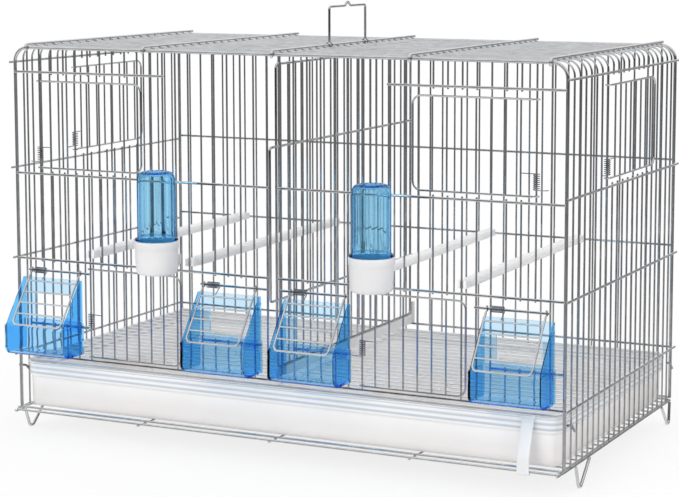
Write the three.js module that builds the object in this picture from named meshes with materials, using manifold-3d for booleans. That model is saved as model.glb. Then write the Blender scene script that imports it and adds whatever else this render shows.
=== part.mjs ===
// A double breeding cage of welded wire: front and back panels, a bent hood, a base and a floor grille,
// six sprung doors, a wire divider, four outside feeders with sprung flaps, two drinkers, four perches,
// a plastic tray with its latch, a carry handle and four feet. Millimetres, x right, y back, z up.
import * as THREE from "three";
import { mergeVertices } from "three/addons/utils/BufferGeometryUtils.js";
import Module from "manifold-3d";

const wasm = await Module();
wasm.setup();

// Wire grid
const wirePitch = 14;
const frontGaps = 41;
const sidePitch = 14.67;
const sideGaps = 21;
const width = frontGaps * wirePitch;
const depth = sideGaps * sidePitch;
const frontY = -depth / 2;
const backY = depth / 2;

// Wire thicknesses and clearances
const wire = 1.8;
const rail = 2.4;
const frameWire = 3.2;
const roofBar = 3;
const fineWire = 1.6;
const springWire = 0.9;
const gap = 0.3;
const weldGap = 0.25;
const stub = 1.5;
const overrun = 20;

// Heights: the lower rails stand over the tray, the upper ones hang below the top of the frame
const baseHeight = 24;
const trayTall = 45.5;
const frameTall = 358.5;
const trayRailLift = 7;
const sillLift = 32;
const pivotLift = 86;
const feederRailLift = 97;
const backLowerLift = 104;
const upperRailDrop = 23.5;
const doorRailDrop = 123;
const sideUpperDrop = 14.4;
const sideMiddleDrop = 118;
const backUpperDrop = 114;
const frameTop = baseHeight + frameTall;
const trayBottom = baseHeight + rail / 2 + gap;
const trayTop = trayBottom + trayTall;
const trayRail = trayTop + trayRailLift;
const sillRail = trayRail + sillLift;
const pivotHeight = trayRail + pivotLift;
const feederRail = trayRail + feederRailLift;
const backLower = trayRail + backLowerLift;
const upperRail = frameTop - upperRailDrop;
const doorRail = frameTop - doorRailDrop;
const sideUpper = frameTop - sideUpperDrop;
const sideMiddle = frameTop - sideMiddleDrop;
const backUpper = frameTop - backUpperDrop;
const sideBottom = baseHeight;
const backBottom = baseHeight + rail + gap;
const bendRadius = 13;
const railReach = 3.5;

// Places on a panel, as shares of its wire pitch from the left or the front; wires stand at the whole ones
const shortRailShare = 12;
const slotShare = 20;
const upperHingeShare = 2;
const upperFreeShare = 10.45;
const upperLastShare = 10;
const lowerHingeShare = 6;
const lowerFreeShare = 13.45;
const lowerLastShare = 13;
const rightHingeShare = 27;
const sideHingeShare = 7;
const sideFreeShare = 16;
const feederShares = [
  { from: 1, to: 5, barFrom: 1, barTo: 6, sillTo: 5.7, centre: 3, flapCentre: 3.2 },
  { from: 15, to: 19, barFrom: 15, barTo: 20, sillTo: 19.4, centre: 17.2, flapCentre: 17.2 },
  { from: 22, to: 26, barFrom: 21, barTo: 26, sillTo: 26, centre: 23.8, flapCentre: 23.8 },
  { from: 36, to: 40, barFrom: 35, barTo: 40, sillTo: 41, centre: 38, flapCentre: 37.8 },
];

const weldEvery = 4;
const weldFirst = 3;
const frontX = (i) => (i - frontGaps / 2) * wirePitch;
const sideY = (j) => frontY + j * sidePitch;
const welded = (i) => i % weldEvery === weldFirst;
const hoodFace = width / 2 + frameWire / 2 + gap;
const roofFace = frameTop + frameWire / 2 + gap;

const steel = new THREE.MeshStandardMaterial({ color: 0xc6cace, roughness: 0.22, metalness: 1 });
const springSteel = new THREE.MeshStandardMaterial({ color: 0x8d9196, roughness: 0.35, metalness: 1 });
const blue = new THREE.MeshStandardMaterial({ color: 0x4aa6ec, roughness: 0.12, metalness: 0 });
blue.transparent = true;
blue.opacity = 0.55;
const white = new THREE.MeshStandardMaterial({ color: 0xf0f1f2, roughness: 0.4, metalness: 0 });
const trayWhite = new THREE.MeshStandardMaterial({ color: 0xe6e8ee, roughness: 0.25, metalness: 0 });

const cage = new THREE.Group();

// Coordinates are snapped so that faces meant to touch get the same numbers, exact in binary
const snapsPerMm = 64;
const mergeDistance = 1e-4;
const snap = (v) => Math.round(v * snapsPerMm) / snapsPerMm;
const span = (centre, size) => [centre - size / 2, centre + size / 2];

function solidOf(geometry) {
  const bare = geometry.clone();
  bare.deleteAttribute("normal");
  bare.deleteAttribute("uv");
  const merged = mergeVertices(bare, mergeDistance);
  return new wasm.Manifold(
    new wasm.Mesh({
      numProp: 3,
      vertProperties: merged.attributes.position.array,
      triVerts: new Uint32Array(merged.index.array),
    }),
  );
}

function geometryOf(solid) {
  const mesh = solid.getMesh();
  const geometry = new THREE.BufferGeometry();
  geometry.setAttribute("position", new THREE.BufferAttribute(new Float32Array(mesh.vertProperties), 3));
  geometry.setIndex(new THREE.BufferAttribute(new Uint32Array(mesh.triVerts), 1));
  geometry.computeVertexNormals();
  return geometry;
}

const join = (solids) => solids.reduce((all, solid) => all.add(solid));

function bar(x, y, z) {
  const box = new THREE.BoxGeometry(1, 1, 1);
  const p = box.attributes.position;
  const side = (value, ends) => snap(ends[value < 0 ? 0 : 1]);
  for (let k = 0; k < p.count; k++) {
    p.setXYZ(k, side(p.getX(k), x), side(p.getY(k), y), side(p.getZ(k), z));
  }
  return solidOf(box);
}

// An outline swept along one axis: along x its points are [y, z], along y [z, x], along z [x, y]
function swept(axis, points, ends, holes = []) {
  const shape = new THREE.Shape(points.map(([a, b]) => new THREE.Vector2(a, b)));
  shape.holes = holes.map((hole) => new THREE.Path(hole.map(([a, b]) => new THREE.Vector2(a, b))));
  const block = new THREE.ExtrudeGeometry(shape, { depth: 1, bevelEnabled: false });
  const p = block.attributes.position;
  for (let k = 0; k < p.count; k++) {
    const a = snap(p.getX(k));
    const b = snap(p.getY(k));
    const c = snap(ends[p.getZ(k) < 0.5 ? 0 : 1]);
    if (axis === "x") p.setXYZ(k, c, a, b);
    if (axis === "y") p.setXYZ(k, b, c, a);
    if (axis === "z") p.setXYZ(k, a, b, c);
  }
  return solidOf(block);
}

const rectangle = ([a, b], [c, d]) => [[a, c], [b, c], [b, d], [a, d]];

function arc(a, b, radius, from, to, steps) {
  return Array.from({ length: steps + 1 }, (_, k) => {
    const angle = from + ((to - from) * k) / steps;
    return [a + radius * Math.cos(angle), b + radius * Math.sin(angle)];
  });
}

// A flat strip of constant width that follows a line of points
function ribbon(points, size) {
  const left = [];
  const right = [];
  points.forEach((point, k) => {
    const here = new THREE.Vector2(...point);
    const before = k ? here.clone().sub(new THREE.Vector2(...points[k - 1])).normalize() : null;
    const after = k < points.length - 1 ? new THREE.Vector2(...points[k + 1]).sub(here).normalize() : null;
    const along = (before || after).clone().add(after || before).normalize();
    const side = new THREE.Vector2(-along.y, along.x);
    const edge = after || before;
    const reach = size / 2 / side.dot(new THREE.Vector2(-edge.y, edge.x));
    left.push([here.x + side.x * reach, here.y + side.y * reach]);
    right.unshift([here.x - side.x * reach, here.y - side.y * reach]);
  });
  return [...left, ...right];
}

const bendSteps = 2;
// Upside-down U of [z, x] points, centred on x = 0
function archLine(half, bottom, top, radius) {
  const quarter = Math.PI / 2;
  return [
    [bottom, -half],
    ...arc(top - radius, -half + radius, radius, -quarter, 0, bendSteps),
    ...arc(top - radius, half - radius, radius, 0, quarter, bendSteps),
    [bottom, half],
  ];
}

function arch(y, half, bottom, top, size, thickness) {
  return swept("y", ribbon(archLine(half, bottom, top, bendRadius), size), span(y, thickness));
}

function place(name, shape, material, position = [0, 0, 0], turn = [0, 0, 0]) {
  const geometry = shape.isBufferGeometry ? shape : geometryOf(shape);
  const mesh = new THREE.Mesh(geometry, material);
  mesh.name = name;
  mesh.position.set(...position);
  mesh.rotation.set(...turn);
  cage.add(mesh);
}

// What is left of a wire from low to high after the given stretches are cut out of it
function remaining(low, high, cuts) {
  let parts = [[low, high]];
  for (const [from, to] of cuts) {
    const pieces = parts.flatMap(([a, b]) => [[a, Math.min(b, from)], [Math.max(a, to), b]]);
    parts = pieces.filter(([a, b]) => b > a);
  }
  return parts;
}

const mirrored = (i) => frontGaps - i;
const between = (i, from, to) => i > from && i < to;

function frontCuts(i) {
  const cuts = [];
  const past = rail / 2 + stub;
  if ([i, mirrored(i)].some((k) => between(k, upperHingeShare, upperLastShare))) {
    cuts.push([doorRail + past, upperRail - past]);
  }
  const rightLast = rightHingeShare + lowerLastShare - lowerHingeShare;
  if (between(i, lowerHingeShare, lowerLastShare) || between(i, rightHingeShare, rightLast)) {
    cuts.push([trayRail - rail, feederRail - past]);
  }
  if (feederShares.some(({ from, to }) => between(i, from, to))) {
    cuts.push([sillRail + past, feederRail - past]);
  }
  return cuts;
}

function frontPanel() {
  const face = frontY - wire / 2;
  const railY = [face - rail, face];
  const end = width / 2;
  const solids = [arch(frontY, width / 2, baseHeight + rail / 2 + gap, frameTop, frameWire, frameWire)];
  for (let i = 1; i < frontGaps; i++) {
    for (const part of remaining(trayRail, frameTop, frontCuts(i))) {
      solids.push(bar(span(frontX(i), wire), span(frontY, wire), part));
    }
  }
  solids.push(bar(span(0, width), span(frontY, rail), span(trayRail, rail)));
  const rails = [[upperRail, shortRailShare], [doorRail, slotShare], [feederRail, slotShare]];
  for (const [height, last] of rails) {
    const inner = frontX(last) + wire / 2 + stub;
    solids.push(bar([-end, inner], railY, span(height, rail)));
    solids.push(bar([-inner, end], railY, span(height, rail)));
  }
  for (const { from, barFrom, barTo, sillTo } of feederShares) {
    const reach = wire / 2;
    solids.push(bar([frontX(barFrom) - reach, frontX(barTo) + reach], railY, span(pivotHeight, rail)));
    const sillY = [frontY + wire / 2, frontY + wire / 2 + rail];
    solids.push(bar([frontX(from) - stub, frontX(sillTo)], sillY, span(sillRail, rail)));
  }
  return join(solids);
}

// A wire that is not welded where a rail crosses it stands a little behind the rail
const setBack = (i) => (welded(i) ? 0 : weldGap);

function backPanel() {
  const face = backY + wire / 2;
  const solids = [arch(backY, width / 2, baseHeight + rail / 2 + gap, frameTop, frameWire, frameWire)];
  for (let i = 1; i < frontGaps; i++) {
    const far = face - setBack(i);
    solids.push(bar(span(frontX(i), wire), [far - wire, far], [backBottom, frameTop]));
  }
  solids.push(bar(span(0, width), span(backY, rail), span(backBottom, rail)));
  for (const height of [backUpper, backLower, trayRail]) {
    solids.push(bar(span(0, width), [face, face + rail], span(height, rail)));
  }
  return join(solids);
}

const roofBarShares = [0.026, 0.258, 0.5, 0.742, 0.974];
const barHook = 4;

// The hood wires that end at a side door are welded too
const hoodSetBack = (j) => (between(j, sideHingeShare, sideFreeShare) ? 0 : setBack(j));

function hood() {
  const wires = [];
  for (let j = 1; j < sideGaps; j++) {
    const half = hoodFace - hoodSetBack(j) - wire / 2;
    const top = roofFace - hoodSetBack(j) - wire / 2;
    wires.push(arch(sideY(j), half, sideBottom, top, wire, wire));
  }
  const past = rail / 2 + stub;
  const clear = sidePitch / 2;
  const doorway = [sideY(sideHingeShare) + clear, sideY(sideFreeShare) - clear];
  let solid = join(wires);
  for (const side of [-1, 1]) {
    const across = [side * hoodFace - overrun / 2, side * hoodFace + overrun / 2];
    solid = solid.subtract(bar(across, doorway, [sideMiddle + past, sideUpper - past]));
    const outward = (from, to) => (side < 0 ? [-to, -from] : [from, to]);
    const along = [frontY - frameWire / 2 - railReach, backY + frameWire / 2 + railReach];
    for (const height of [sideUpper, sideMiddle, feederRail, trayRail]) {
      solid = solid.add(bar(outward(hoodFace, hoodFace + rail), along, span(height, rail)));
    }
    const foot = hoodFace - wire / 2;
    const inside = [frontY + frameWire / 2 + gap, backY - frameWire / 2 - gap];
    solid = solid.add(bar(outward(foot - rail / 2, foot + rail / 2), inside, span(sideBottom, rail)));
  }
  const hookY = frontY - frameWire / 2 - gap - roofBar;
  const tail = backY + frameWire / 2 + railReach;
  const hooked = [
    [hookY, roofFace - barHook],
    [hookY + roofBar, roofFace - barHook],
    [hookY + roofBar, roofFace],
    [tail, roofFace],
    [tail, roofFace + roofBar],
    [hookY, roofFace + roofBar],
  ];
  for (const share of roofBarShares) {
    solid = solid.add(swept("x", hooked, span((share - 0.5) * width, roofBar)));
  }
  return solid;
}

const stretcherShares = [0.25, 0.5, 0.75];
const toeReach = 12;

function baseGrille() {
  const side = hoodFace - wire / 2 - rail - gap;
  const front = frontY - toeReach;
  const inner = [-side + rail / 2, side - rail / 2];
  const outline = rectangle(span(0, 2 * side + rail), [front - rail / 2, backY + rail / 2]);
  const holes = [
    rectangle(inner, [front + rail / 2, frontY - rail / 2]),
    rectangle(inner, [frontY + rail / 2, backY - rail / 2]),
  ];
  const level = span(baseHeight, rail);
  const solids = [swept("z", outline, level, holes)];
  for (const share of stretcherShares) {
    solids.push(bar(span((share - 0.5) * width, wire), [front, backY], [level[0] - wire, level[0]]));
  }
  for (let j = 1; j < sideGaps; j++) {
    solids.push(bar([-side, side], span(sideY(j), wire), span(baseHeight, wire)));
  }
  return join(solids);
}

// Tray
const trayWall = 2;
const trayFloor = 2;
const trayLip = 4;
const trayLipThick = 2;
const trayCorner = 12;
const grilleTall = 4.2;
const traySteps = 4;
const trayHalf = width / 2 - frameWire / 2 - gap - trayLip;
const trayFront = frontY + trayLip - frameWire / 2;
const trayBack = backY - frameWire / 2 - gap - trayLip;

function roundedOutline(half, near, far, radius) {
  const q = Math.PI / 2;
  return [
    ...arc(half - radius, far - radius, radius, 0, q, traySteps),
    ...arc(-half + radius, far - radius, radius, q, 2 * q, traySteps),
    ...arc(-half + radius, near + radius, radius, 2 * q, 3 * q, traySteps),
    ...arc(half - radius, near + radius, radius, 3 * q, 4 * q, traySteps),
  ];
}

function tray() {
  const ring = (by) => roundedOutline(trayHalf + by, trayFront - by, trayBack + by, trayCorner + by);
  const body = swept("z", ring(0), [trayBottom, trayTop - trayLipThick / 2]);
  const lip = swept("z", ring(trayLip), [trayTop - trayLipThick, trayTop]);
  const hollow = swept("z", ring(-trayWall), [trayBottom + trayFloor, trayTop + overrun]);
  return body.add(lip).subtract(hollow);
}

// Floor grille, lying on the tray's rim
function floorGrille() {
  const side = trayHalf - rail / 2;
  const low = trayTop + gap;
  const y = [trayFront, trayBack];
  const inner = [trayFront + rail, trayBack - rail];
  const hole = rectangle([-side + rail / 2, side - rail / 2], inner);
  const solids = [swept("z", rectangle(span(0, 2 * trayHalf), y), [low, low + grilleTall], [hole])];
  for (const share of stretcherShares) {
    const x = span((share - 0.5) * width, fineWire);
    solids.push(bar(x, [inner[0] - stub, inner[1] + stub], [low + weldGap, low + weldGap + fineWire]));
  }
  const top = low + grilleTall - weldGap;
  for (let j = 1; j < sideGaps; j++) {
    solids.push(bar([-side, side], span(sideY(j), fineWire), [top - fineWire, top]));
  }
  return join(solids);
}

// Tray latch: a strap from the tray's lip to the wire at the cage's toe, snapped over it from the front
const latchWidth = 12;
const latchThick = 1.6;
const latchShare = 0.9425;
const latchX = (latchShare - 0.5) * width;
const latchBarrel = 3;

function trayLatch() {
  const lipFront = trayFront - trayLip;
  const barrelY = lipFront - gap - latchBarrel / 2;
  const wireFront = frontY - toeReach - rail / 2;
  const strapY = wireFront - gap - latchThick / 2;
  const toeLow = baseHeight - rail / 2 - 2 * gap - latchThick / 2;
  const line = [
    [barrelY, trayTop],
    [barrelY - gap, trayTop - latchBarrel * 2],
    [strapY, baseHeight + toeReach],
    [strapY, toeLow],
    [frontY - toeReach + rail / 2, toeLow],
  ];
  const strap = swept("x", ribbon(line, latchThick), span(latchX, latchWidth));
  const barrelZ = [trayTop - latchBarrel, trayTop];
  const barrel = bar(span(latchX, latchWidth + latchBarrel), span(barrelY, latchBarrel), barrelZ);
  return strap.add(barrel);
}

// Divider with its pull handle outside the front slot
const dividerTopDrop = 9;
const pullUpperDrop = 85;
const pullLowerLift = 76;
const dividerInset = 4;
const pullReach = 12;
const stripHeight = 9;
const stripThick = 5;
const postHeight = 14;

function dividerPanel() {
  const top = frameTop - dividerTopDrop;
  const bottom = trayRail + rail / 2 + gap + stripHeight + gap + rail / 2;
  const near = frontY + dividerInset;
  const far = backY - dividerInset;
  const solids = [];
  for (const height of [top, bottom]) {
    solids.push(bar(span(0, rail), [near, far], span(height, rail)));
  }
  for (let j = 1; j < sideGaps; j++) {
    const face = wire / 2 - setBack(j);
    const y = Math.min(Math.max(sideY(j), near + wire / 2), far - wire / 2);
    solids.push(bar([face - wire, face], span(y, wire), [bottom, top]));
  }
  const pullY = [frontY - pullReach, frontY - pullReach + rail];
  const high = frameTop - pullUpperDrop;
  const low = trayRail + pullLowerLift;
  for (const height of [high, low]) {
    solids.push(bar([wire / 2, wire / 2 + rail], [pullY[0], far], span(height, rail)));
  }
  solids.push(bar([wire / 2, wire / 2 + rail], pullY, [low - rail / 2, high + rail / 2]));
  return join(solids);
}

// The strip slides on the rails above the tray, front and back, and ends in a post between the back wires
function dividerStrip() {
  const low = trayRail + rail / 2 + gap;
  const near = frontY - rail / 2;
  const far = backY + wire / 2 + rail / 2;
  const profile = [
    [near, low],
    [far, low],
    [far, low + stripHeight + postHeight],
    [far - stripThick, low + stripHeight + postHeight],
    [far - stripThick, low + stripHeight],
    [near, low + stripHeight],
  ];
  return swept("x", profile, span(0, stripThick));
}

// Doors, built with the hinge wire on the z axis and the free edge towards +x (way 1) or -x (way -1)
const doorCorner = 8;
const cornerSteps = 3;
const knuckleSize = 5.6;
const knuckleHole = 3.2;

function knuckle(height, tall) {
  const ring = (size) => rectangle([-size, size], [-size, size]);
  return swept("z", ring(knuckleSize / 2), [height - tall / 2, height + tall / 2], [ring(knuckleHole / 2)]);
}

function door({ reach, low, high, pitch, bars, way }) {
  const face = -wire / 2 - gap;
  const start = knuckleHole / 2 + wire / 4;
  const inner = pitch - wire / 2;
  const q = Math.PI / 2;
  const turn = (points) => points.map(([u, z]) => [z, way * u]);
  const outline = [
    [start, low],
    [reach, low],
    ...arc(reach - doorCorner, high - doorCorner, doorCorner, 0, q, cornerSteps),
    [start, high],
    [start, high - rail],
    [inner, high - rail],
    [inner, low + rail],
    [start, low + rail],
  ];
  const holes = [];
  for (let k = 1; k < bars; k++) {
    const from = k * pitch + wire / 2;
    const last = k === bars - 1;
    const to = last ? reach - rail : (k + 1) * pitch - wire / 2;
    const top = high - rail;
    const near = low + rail;
    const corner = last ? [[to, top - doorCorner], [to - doorCorner / 2, top]] : [[to, top]];
    holes.push([[from, near], [to, near], ...corner, [from, top]]);
  }
  const cutters = holes.map((hole) => swept("y", turn(hole), [face - overrun, face + overrun]));
  const plate = swept("y", turn(outline), [face - wire, face]).subtract(join(cutters));
  return join([plate, knuckle(low + rail / 2, wire), knuckle(high - rail / 2, wire)]);
}

// Torsion springs: one unbroken tube of open curls and a straight arm
const springRadius = 2.7;
const springCurlCount = 4;
const curlSteps = 7;
const curlSides = 4;
let leastCurlGap = Infinity;

function torsionSpring(rise, arm, way) {
  const turn = (2 * Math.PI) / curlSteps;
  const line = Array.from({ length: springCurlCount * curlSteps + 1 }, (_, k) => {
    const angle = -Math.PI / 2 + way * k * turn;
    const [x, y] = [springRadius * Math.cos(angle), springRadius * Math.sin(angle)];
    return new THREE.Vector3(x, y, (rise * k) / curlSteps);
  });
  for (let a = 0; a < line.length; a++) {
    for (let b = a + Math.ceil(curlSteps / 2); b < line.length; b++) {
      leastCurlGap = Math.min(leastCurlGap, line[a].distanceTo(line[b]) - springWire);
    }
  }
  const end = line[line.length - 1];
  line.push(new THREE.Vector3(way * arm, end.y, end.z));
  const points = [];
  const faces = [];
  line.forEach((here, k) => {
    const ahead = line[Math.min(k + 1, line.length - 1)].clone().sub(line[Math.max(k - 1, 0)]).normalize();
    const side = new THREE.Vector3(0, 0, 1).cross(ahead).normalize();
    const up = ahead.clone().cross(side);
    for (let s = 0; s < curlSides; s++) {
      const angle = (2 * Math.PI * s) / curlSides;
      const reach = side.clone().multiplyScalar(Math.cos(angle)).addScaledVector(up, Math.sin(angle));
      points.push(...here.clone().addScaledVector(reach, springWire / 2).toArray());
    }
  });
  const ring = (k, s) => k * curlSides + (s % curlSides);
  for (let k = 0; k < line.length - 1; k++) {
    for (let s = 0; s < curlSides; s++) {
      faces.push(ring(k, s), ring(k, s + 1), ring(k + 1, s));
      faces.push(ring(k, s + 1), ring(k + 1, s + 1), ring(k + 1, s));
    }
  }
  for (let s = 1; s < curlSides - 1; s++) {
    faces.push(ring(0, 0), ring(0, s + 1), ring(0, s));
    faces.push(ring(line.length - 1, 0), ring(line.length - 1, s), ring(line.length - 1, s + 1));
  }
  const geometry = new THREE.BufferGeometry();
  geometry.setAttribute("position", new THREE.Float32BufferAttribute(points, 3));
  geometry.setIndex(faces);
  return geometry;
}

const doorSpringRise = 3.6;

function addDoor(name, spec, at, turn, springHeight) {
  place(name, door(spec), steel, [at[0], at[1], 0], [0, 0, turn]);
  const arm = spec.pitch - wire / 2 - gap;
  const spring = torsionSpring(doorSpringRise, arm, spec.way);
  place(name + "_spring", spring, springSteel, [at[0], at[1], springHeight], [0, 0, turn]);
}

const upperDoorTopDrop = 31;
const upperDoorBottomDrop = 118;
const upperSpringDrop = 111;
const lowerDoorTopDrop = 5;
const lowerDoorLift = 1.8;
const lowerSpringLift = 32;
const sideDoorTopDrop = 24.4;
const sideDoorBottomDrop = 111.5;
const sideSpringDrop = 107;

function addDoors() {
  const upperSpec = {
    reach: (upperFreeShare - upperHingeShare) * wirePitch,
    low: frameTop - upperDoorBottomDrop,
    high: frameTop - upperDoorTopDrop,
    pitch: wirePitch,
    bars: upperLastShare - upperHingeShare,
  };
  const leftHinge = frontX(upperHingeShare);
  const upperSpring = frameTop - upperSpringDrop;
  addDoor("upper_door_left", { ...upperSpec, way: 1 }, [leftHinge, frontY], 0, upperSpring);
  addDoor("upper_door_right", { ...upperSpec, way: -1 }, [-leftHinge, frontY], 0, upperSpring);
  const lowerSpec = {
    reach: (lowerFreeShare - lowerHingeShare) * wirePitch,
    low: trayRail + rail / 2 + lowerDoorLift,
    high: feederRail - lowerDoorTopDrop,
    pitch: wirePitch,
    bars: lowerLastShare - lowerHingeShare,
    way: 1,
  };
  const lowerSpring = trayRail + lowerSpringLift;
  addDoor("lower_door_left", lowerSpec, [frontX(lowerHingeShare), frontY], 0, lowerSpring);
  addDoor("lower_door_right", lowerSpec, [frontX(rightHingeShare), frontY], 0, lowerSpring);
  const sideSpec = {
    reach: (sideFreeShare - sideHingeShare) * sidePitch,
    low: frameTop - sideDoorBottomDrop,
    high: frameTop - sideDoorTopDrop,
    pitch: sidePitch,
    bars: sideFreeShare - sideHingeShare,
  };
  const hingeX = hoodFace - setBack(sideHingeShare) - wire / 2;
  const hingeY = sideY(sideHingeShare);
  const sideSpring = frameTop - sideSpringDrop;
  addDoor("side_door_right", { ...sideSpec, way: 1 }, [hingeX, hingeY], Math.PI / 2, sideSpring);
  addDoor("side_door_left", { ...sideSpec, way: -1 }, [-hingeX, hingeY], -Math.PI / 2, sideSpring);
}

// Feeders and flaps, built with the flap's pivot bar on the x axis
const flapSlope = (54 * Math.PI) / 180;
const feederWidth = 68;
const feederWall = 1.8;
const feederTopDrop = 7;
const feederReach = 35.1;
const feederBottomDrop = 79.5;
const feederCorner = 9;
const feederEdge = 4;
const windowTop = 23;
const windowBottom = 46;
const windowInset = 12.5;
const flapWidth = 58;
const flapLength = 60;
const flapWire = 2;
const flapTopBar = 12;
const flapBars = 3;
const flapKnuckle = 5.6;
const flapHole = 3.6;
const flapCorner = 5;
const pivotY = frontY - wire / 2 - rail / 2;

function feeder() {
  const back = rail / 2 - gap;
  const top = -feederTopDrop;
  const bottom = -feederBottomDrop;
  const offset = flapWire / 2 + gap;
  const along = (y) => -(offset - y * Math.sin(flapSlope)) / Math.cos(flapSlope);
  const bend = (top * Math.cos(flapSlope) + offset) / Math.sin(flapSlope);
  const front = -feederReach;
  const q = Math.PI / 2;
  const [cornerY, cornerZ] = [front + feederCorner, bottom + feederCorner];
  const corner = (radius) => arc(cornerY, cornerZ, radius, 2 * q, 3 * q, cornerSteps);
  const outline = [
    [back, bottom],
    [back, top],
    [bend, top],
    [front, along(front)],
    ...corner(feederCorner),
  ];
  const hollow = [
    [back - feederWall, bottom + feederWall],
    [back - feederWall, overrun],
    [front + feederWall, overrun],
    ...corner(feederCorner - feederWall),
  ];
  const half = feederWidth / 2;
  const shell = swept("x", outline, [-half, half]);
  const inside = swept("x", hollow, [-half + feederWall, half - feederWall]);
  const windowHalf = half - windowInset;
  const through = [back - overrun / 2, back + overrun];
  const window = bar([-windowHalf, windowHalf], through, [-windowBottom, -windowTop]);
  const lug = (side) => {
    const x = span(side * (half - feederEdge), 2 * feederEdge);
    const z = along(front) - feederWall;
    return bar(x, [front - gap * 2, front + feederWall / 2], [z - feederEdge, z]);
  };
  return join([shell.subtract(inside).subtract(window), lug(-1), lug(1)]);
}

// Built level, reaching forward; its mesh is then turned down to the slope
function flap() {
  const half = flapWidth / 2;
  const start = (flapHole + flapKnuckle) / 4;
  const end = flapLength + flapWire / 2;
  const corner = flapCorner;
  const q = Math.PI / 2;
  const outline = [
    [half, -start],
    [-half, -start],
    ...arc(-half + corner, -end + corner, corner, 2 * q, 3 * q, bendSteps),
    ...arc(half - corner, -end + corner, corner, 3 * q, 4 * q, bendSteps),
  ];
  const inner = [-half + flapWire, half - flapWire];
  const plate = swept("z", outline, span(0, flapWire));
  const step = (flapLength - flapTopBar) / (flapBars + 1);
  const cells = [bar(inner, [-flapTopBar + fineWire / 2, overrun], span(0, overrun))];
  for (let k = 0; k <= flapBars; k++) {
    const last = k === flapBars;
    const from = flapTopBar + k * step + fineWire / 2;
    const to = flapTopBar + (k + 1) * step - (last ? flapWire : fineWire) / 2;
    const narrow = last ? inner.map((x) => x - Math.sign(x) * (corner - flapWire)) : inner;
    const cell = [
      [narrow[0], -to],
      [narrow[1], -to],
      [inner[1], -to + corner - flapWire],
      [inner[1], -from],
      [inner[0], -from],
      [inner[0], -to + corner - flapWire],
    ];
    cells.push(swept("z", last ? cell : rectangle(inner, [-to, -from]), span(0, overrun)));
  }
  const ring = (size) => rectangle([-size, size], [-size, size]);
  const solids = [plate.subtract(join(cells))];
  for (const side of [-1, 1]) {
    const x = span(side * (half - flapWire / 2), fineWire);
    solids.push(swept("x", ring(flapKnuckle / 2), x, [ring(flapHole / 2)]));
  }
  return join(solids);
}

const flapSpringRise = 3;
const flapSpringInset = 5;

function addFeeders() {
  feederShares.forEach(({ centre, flapCentre }, k) => {
    const at = [frontX(flapCentre), pivotY, pivotHeight];
    place(`feeder_${k + 1}`, feeder(), blue, [frontX(centre), pivotY, pivotHeight]);
    place(`feeder_flap_${k + 1}`, flap(), steel, at, [flapSlope, 0, 0]);
    const coil = torsionSpring(flapSpringRise, flapTopBar - flapWire, -1);
    coil.rotateZ(Math.PI / 2 - flapSlope);
    coil.rotateX(Math.PI / 2);
    coil.rotateZ(Math.PI / 2);
    const coilX = at[0] - flapWidth / 2 + flapSpringInset;
    place(`flap_spring_${k + 1}`, coil, springSteel, [coilX, pivotY, pivotHeight]);
  });
}

// Drinkers: a tube standing in a cup that hangs on the front wires by its spout
const drinkerShares = [12.5, 28.5];
const drinkerSides = 14;
const cupRadius = 21;
const cupFoot = 19.5;
const cupWall = 1.6;
const cupTall = 32;
const cupLift = 1.5;
const tubeRadius = 18;
const tubeWall = 1.5;
const tubeTall = 65;
const tubeSpigot = 14;
const tubeFlange = 20.8;
const flangeThick = 2.2;
const domeTall = 6;
const capRadius = 12;
const spoutWidth = 10;
const spoutTall = 12;
const spoutReach = 12;
const drinkerY = frontY - wire / 2 - rail - gap - cupRadius;
const cupBottom = feederRail + rail / 2 - cupLift - gap;

function latheSolid(profile) {
  const points = profile.map(([r, z]) => new THREE.Vector2(r, z));
  const turned = new THREE.LatheGeometry([...points, points[0]], drinkerSides);
  turned.rotateX(Math.PI / 2);
  return solidOf(turned);
}

function drinkerCup() {
  const rim = cupBottom + cupTall;
  const floor = cupBottom + cupWall;
  const cup = latheSolid([
    [0, cupBottom],
    [cupFoot, cupBottom],
    [cupRadius, rim],
    [cupRadius - cupWall, rim],
    [cupFoot - cupWall, floor],
    [0, floor],
  ]);
  const low = feederRail + rail / 2 + gap;
  const y = [0, frontY + wire / 2 + spoutReach - drinkerY];
  const block = bar(span(0, spoutWidth), [cupFoot - cupWall, y[1]], [low, low + spoutTall]);
  const channel = span(0, spoutWidth - 2 * cupWall);
  const trough = bar(channel, [0, y[1] - cupWall], [low + cupWall, low + spoutTall + cupWall / 2]);
  return cup.add(block).subtract(trough);
}

function drinkerTube() {
  const rim = cupBottom + cupTall + gap;
  const low = rim - tubeSpigot;
  const top = rim + tubeTall;
  const inner = tubeRadius - tubeWall;
  return latheSolid([
    [inner, low],
    [tubeRadius, low],
    [tubeRadius, rim],
    [tubeFlange, rim],
    [tubeFlange, rim + flangeThick],
    [tubeRadius, rim + flangeThick],
    [tubeRadius, top - domeTall],
    [capRadius, top],
    [0, top],
    [0, top - tubeWall],
    [capRadius - tubeWall, top - tubeWall],
    [inner, top - domeTall - tubeWall],
  ]);
}

function addDrinkers() {
  drinkerShares.forEach((index, k) => {
    const at = [frontX(index), drinkerY, 0];
    place(`drinker_cup_${k + 1}`, drinkerCup(), white, at);
    place(`drinker_tube_${k + 1}`, drinkerTube(), blue, at);
  });
}

// Perches: rods with a forked clip at each end
const perchShares = [6, 14, 27, 34];
const perchLift = 8;
const perchRadius = 5;
const perchSides = 10;
const forkWidth = 9;
const forkTall = 7;
const forkBack = 9;
const forkTip = 0.6;

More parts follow.
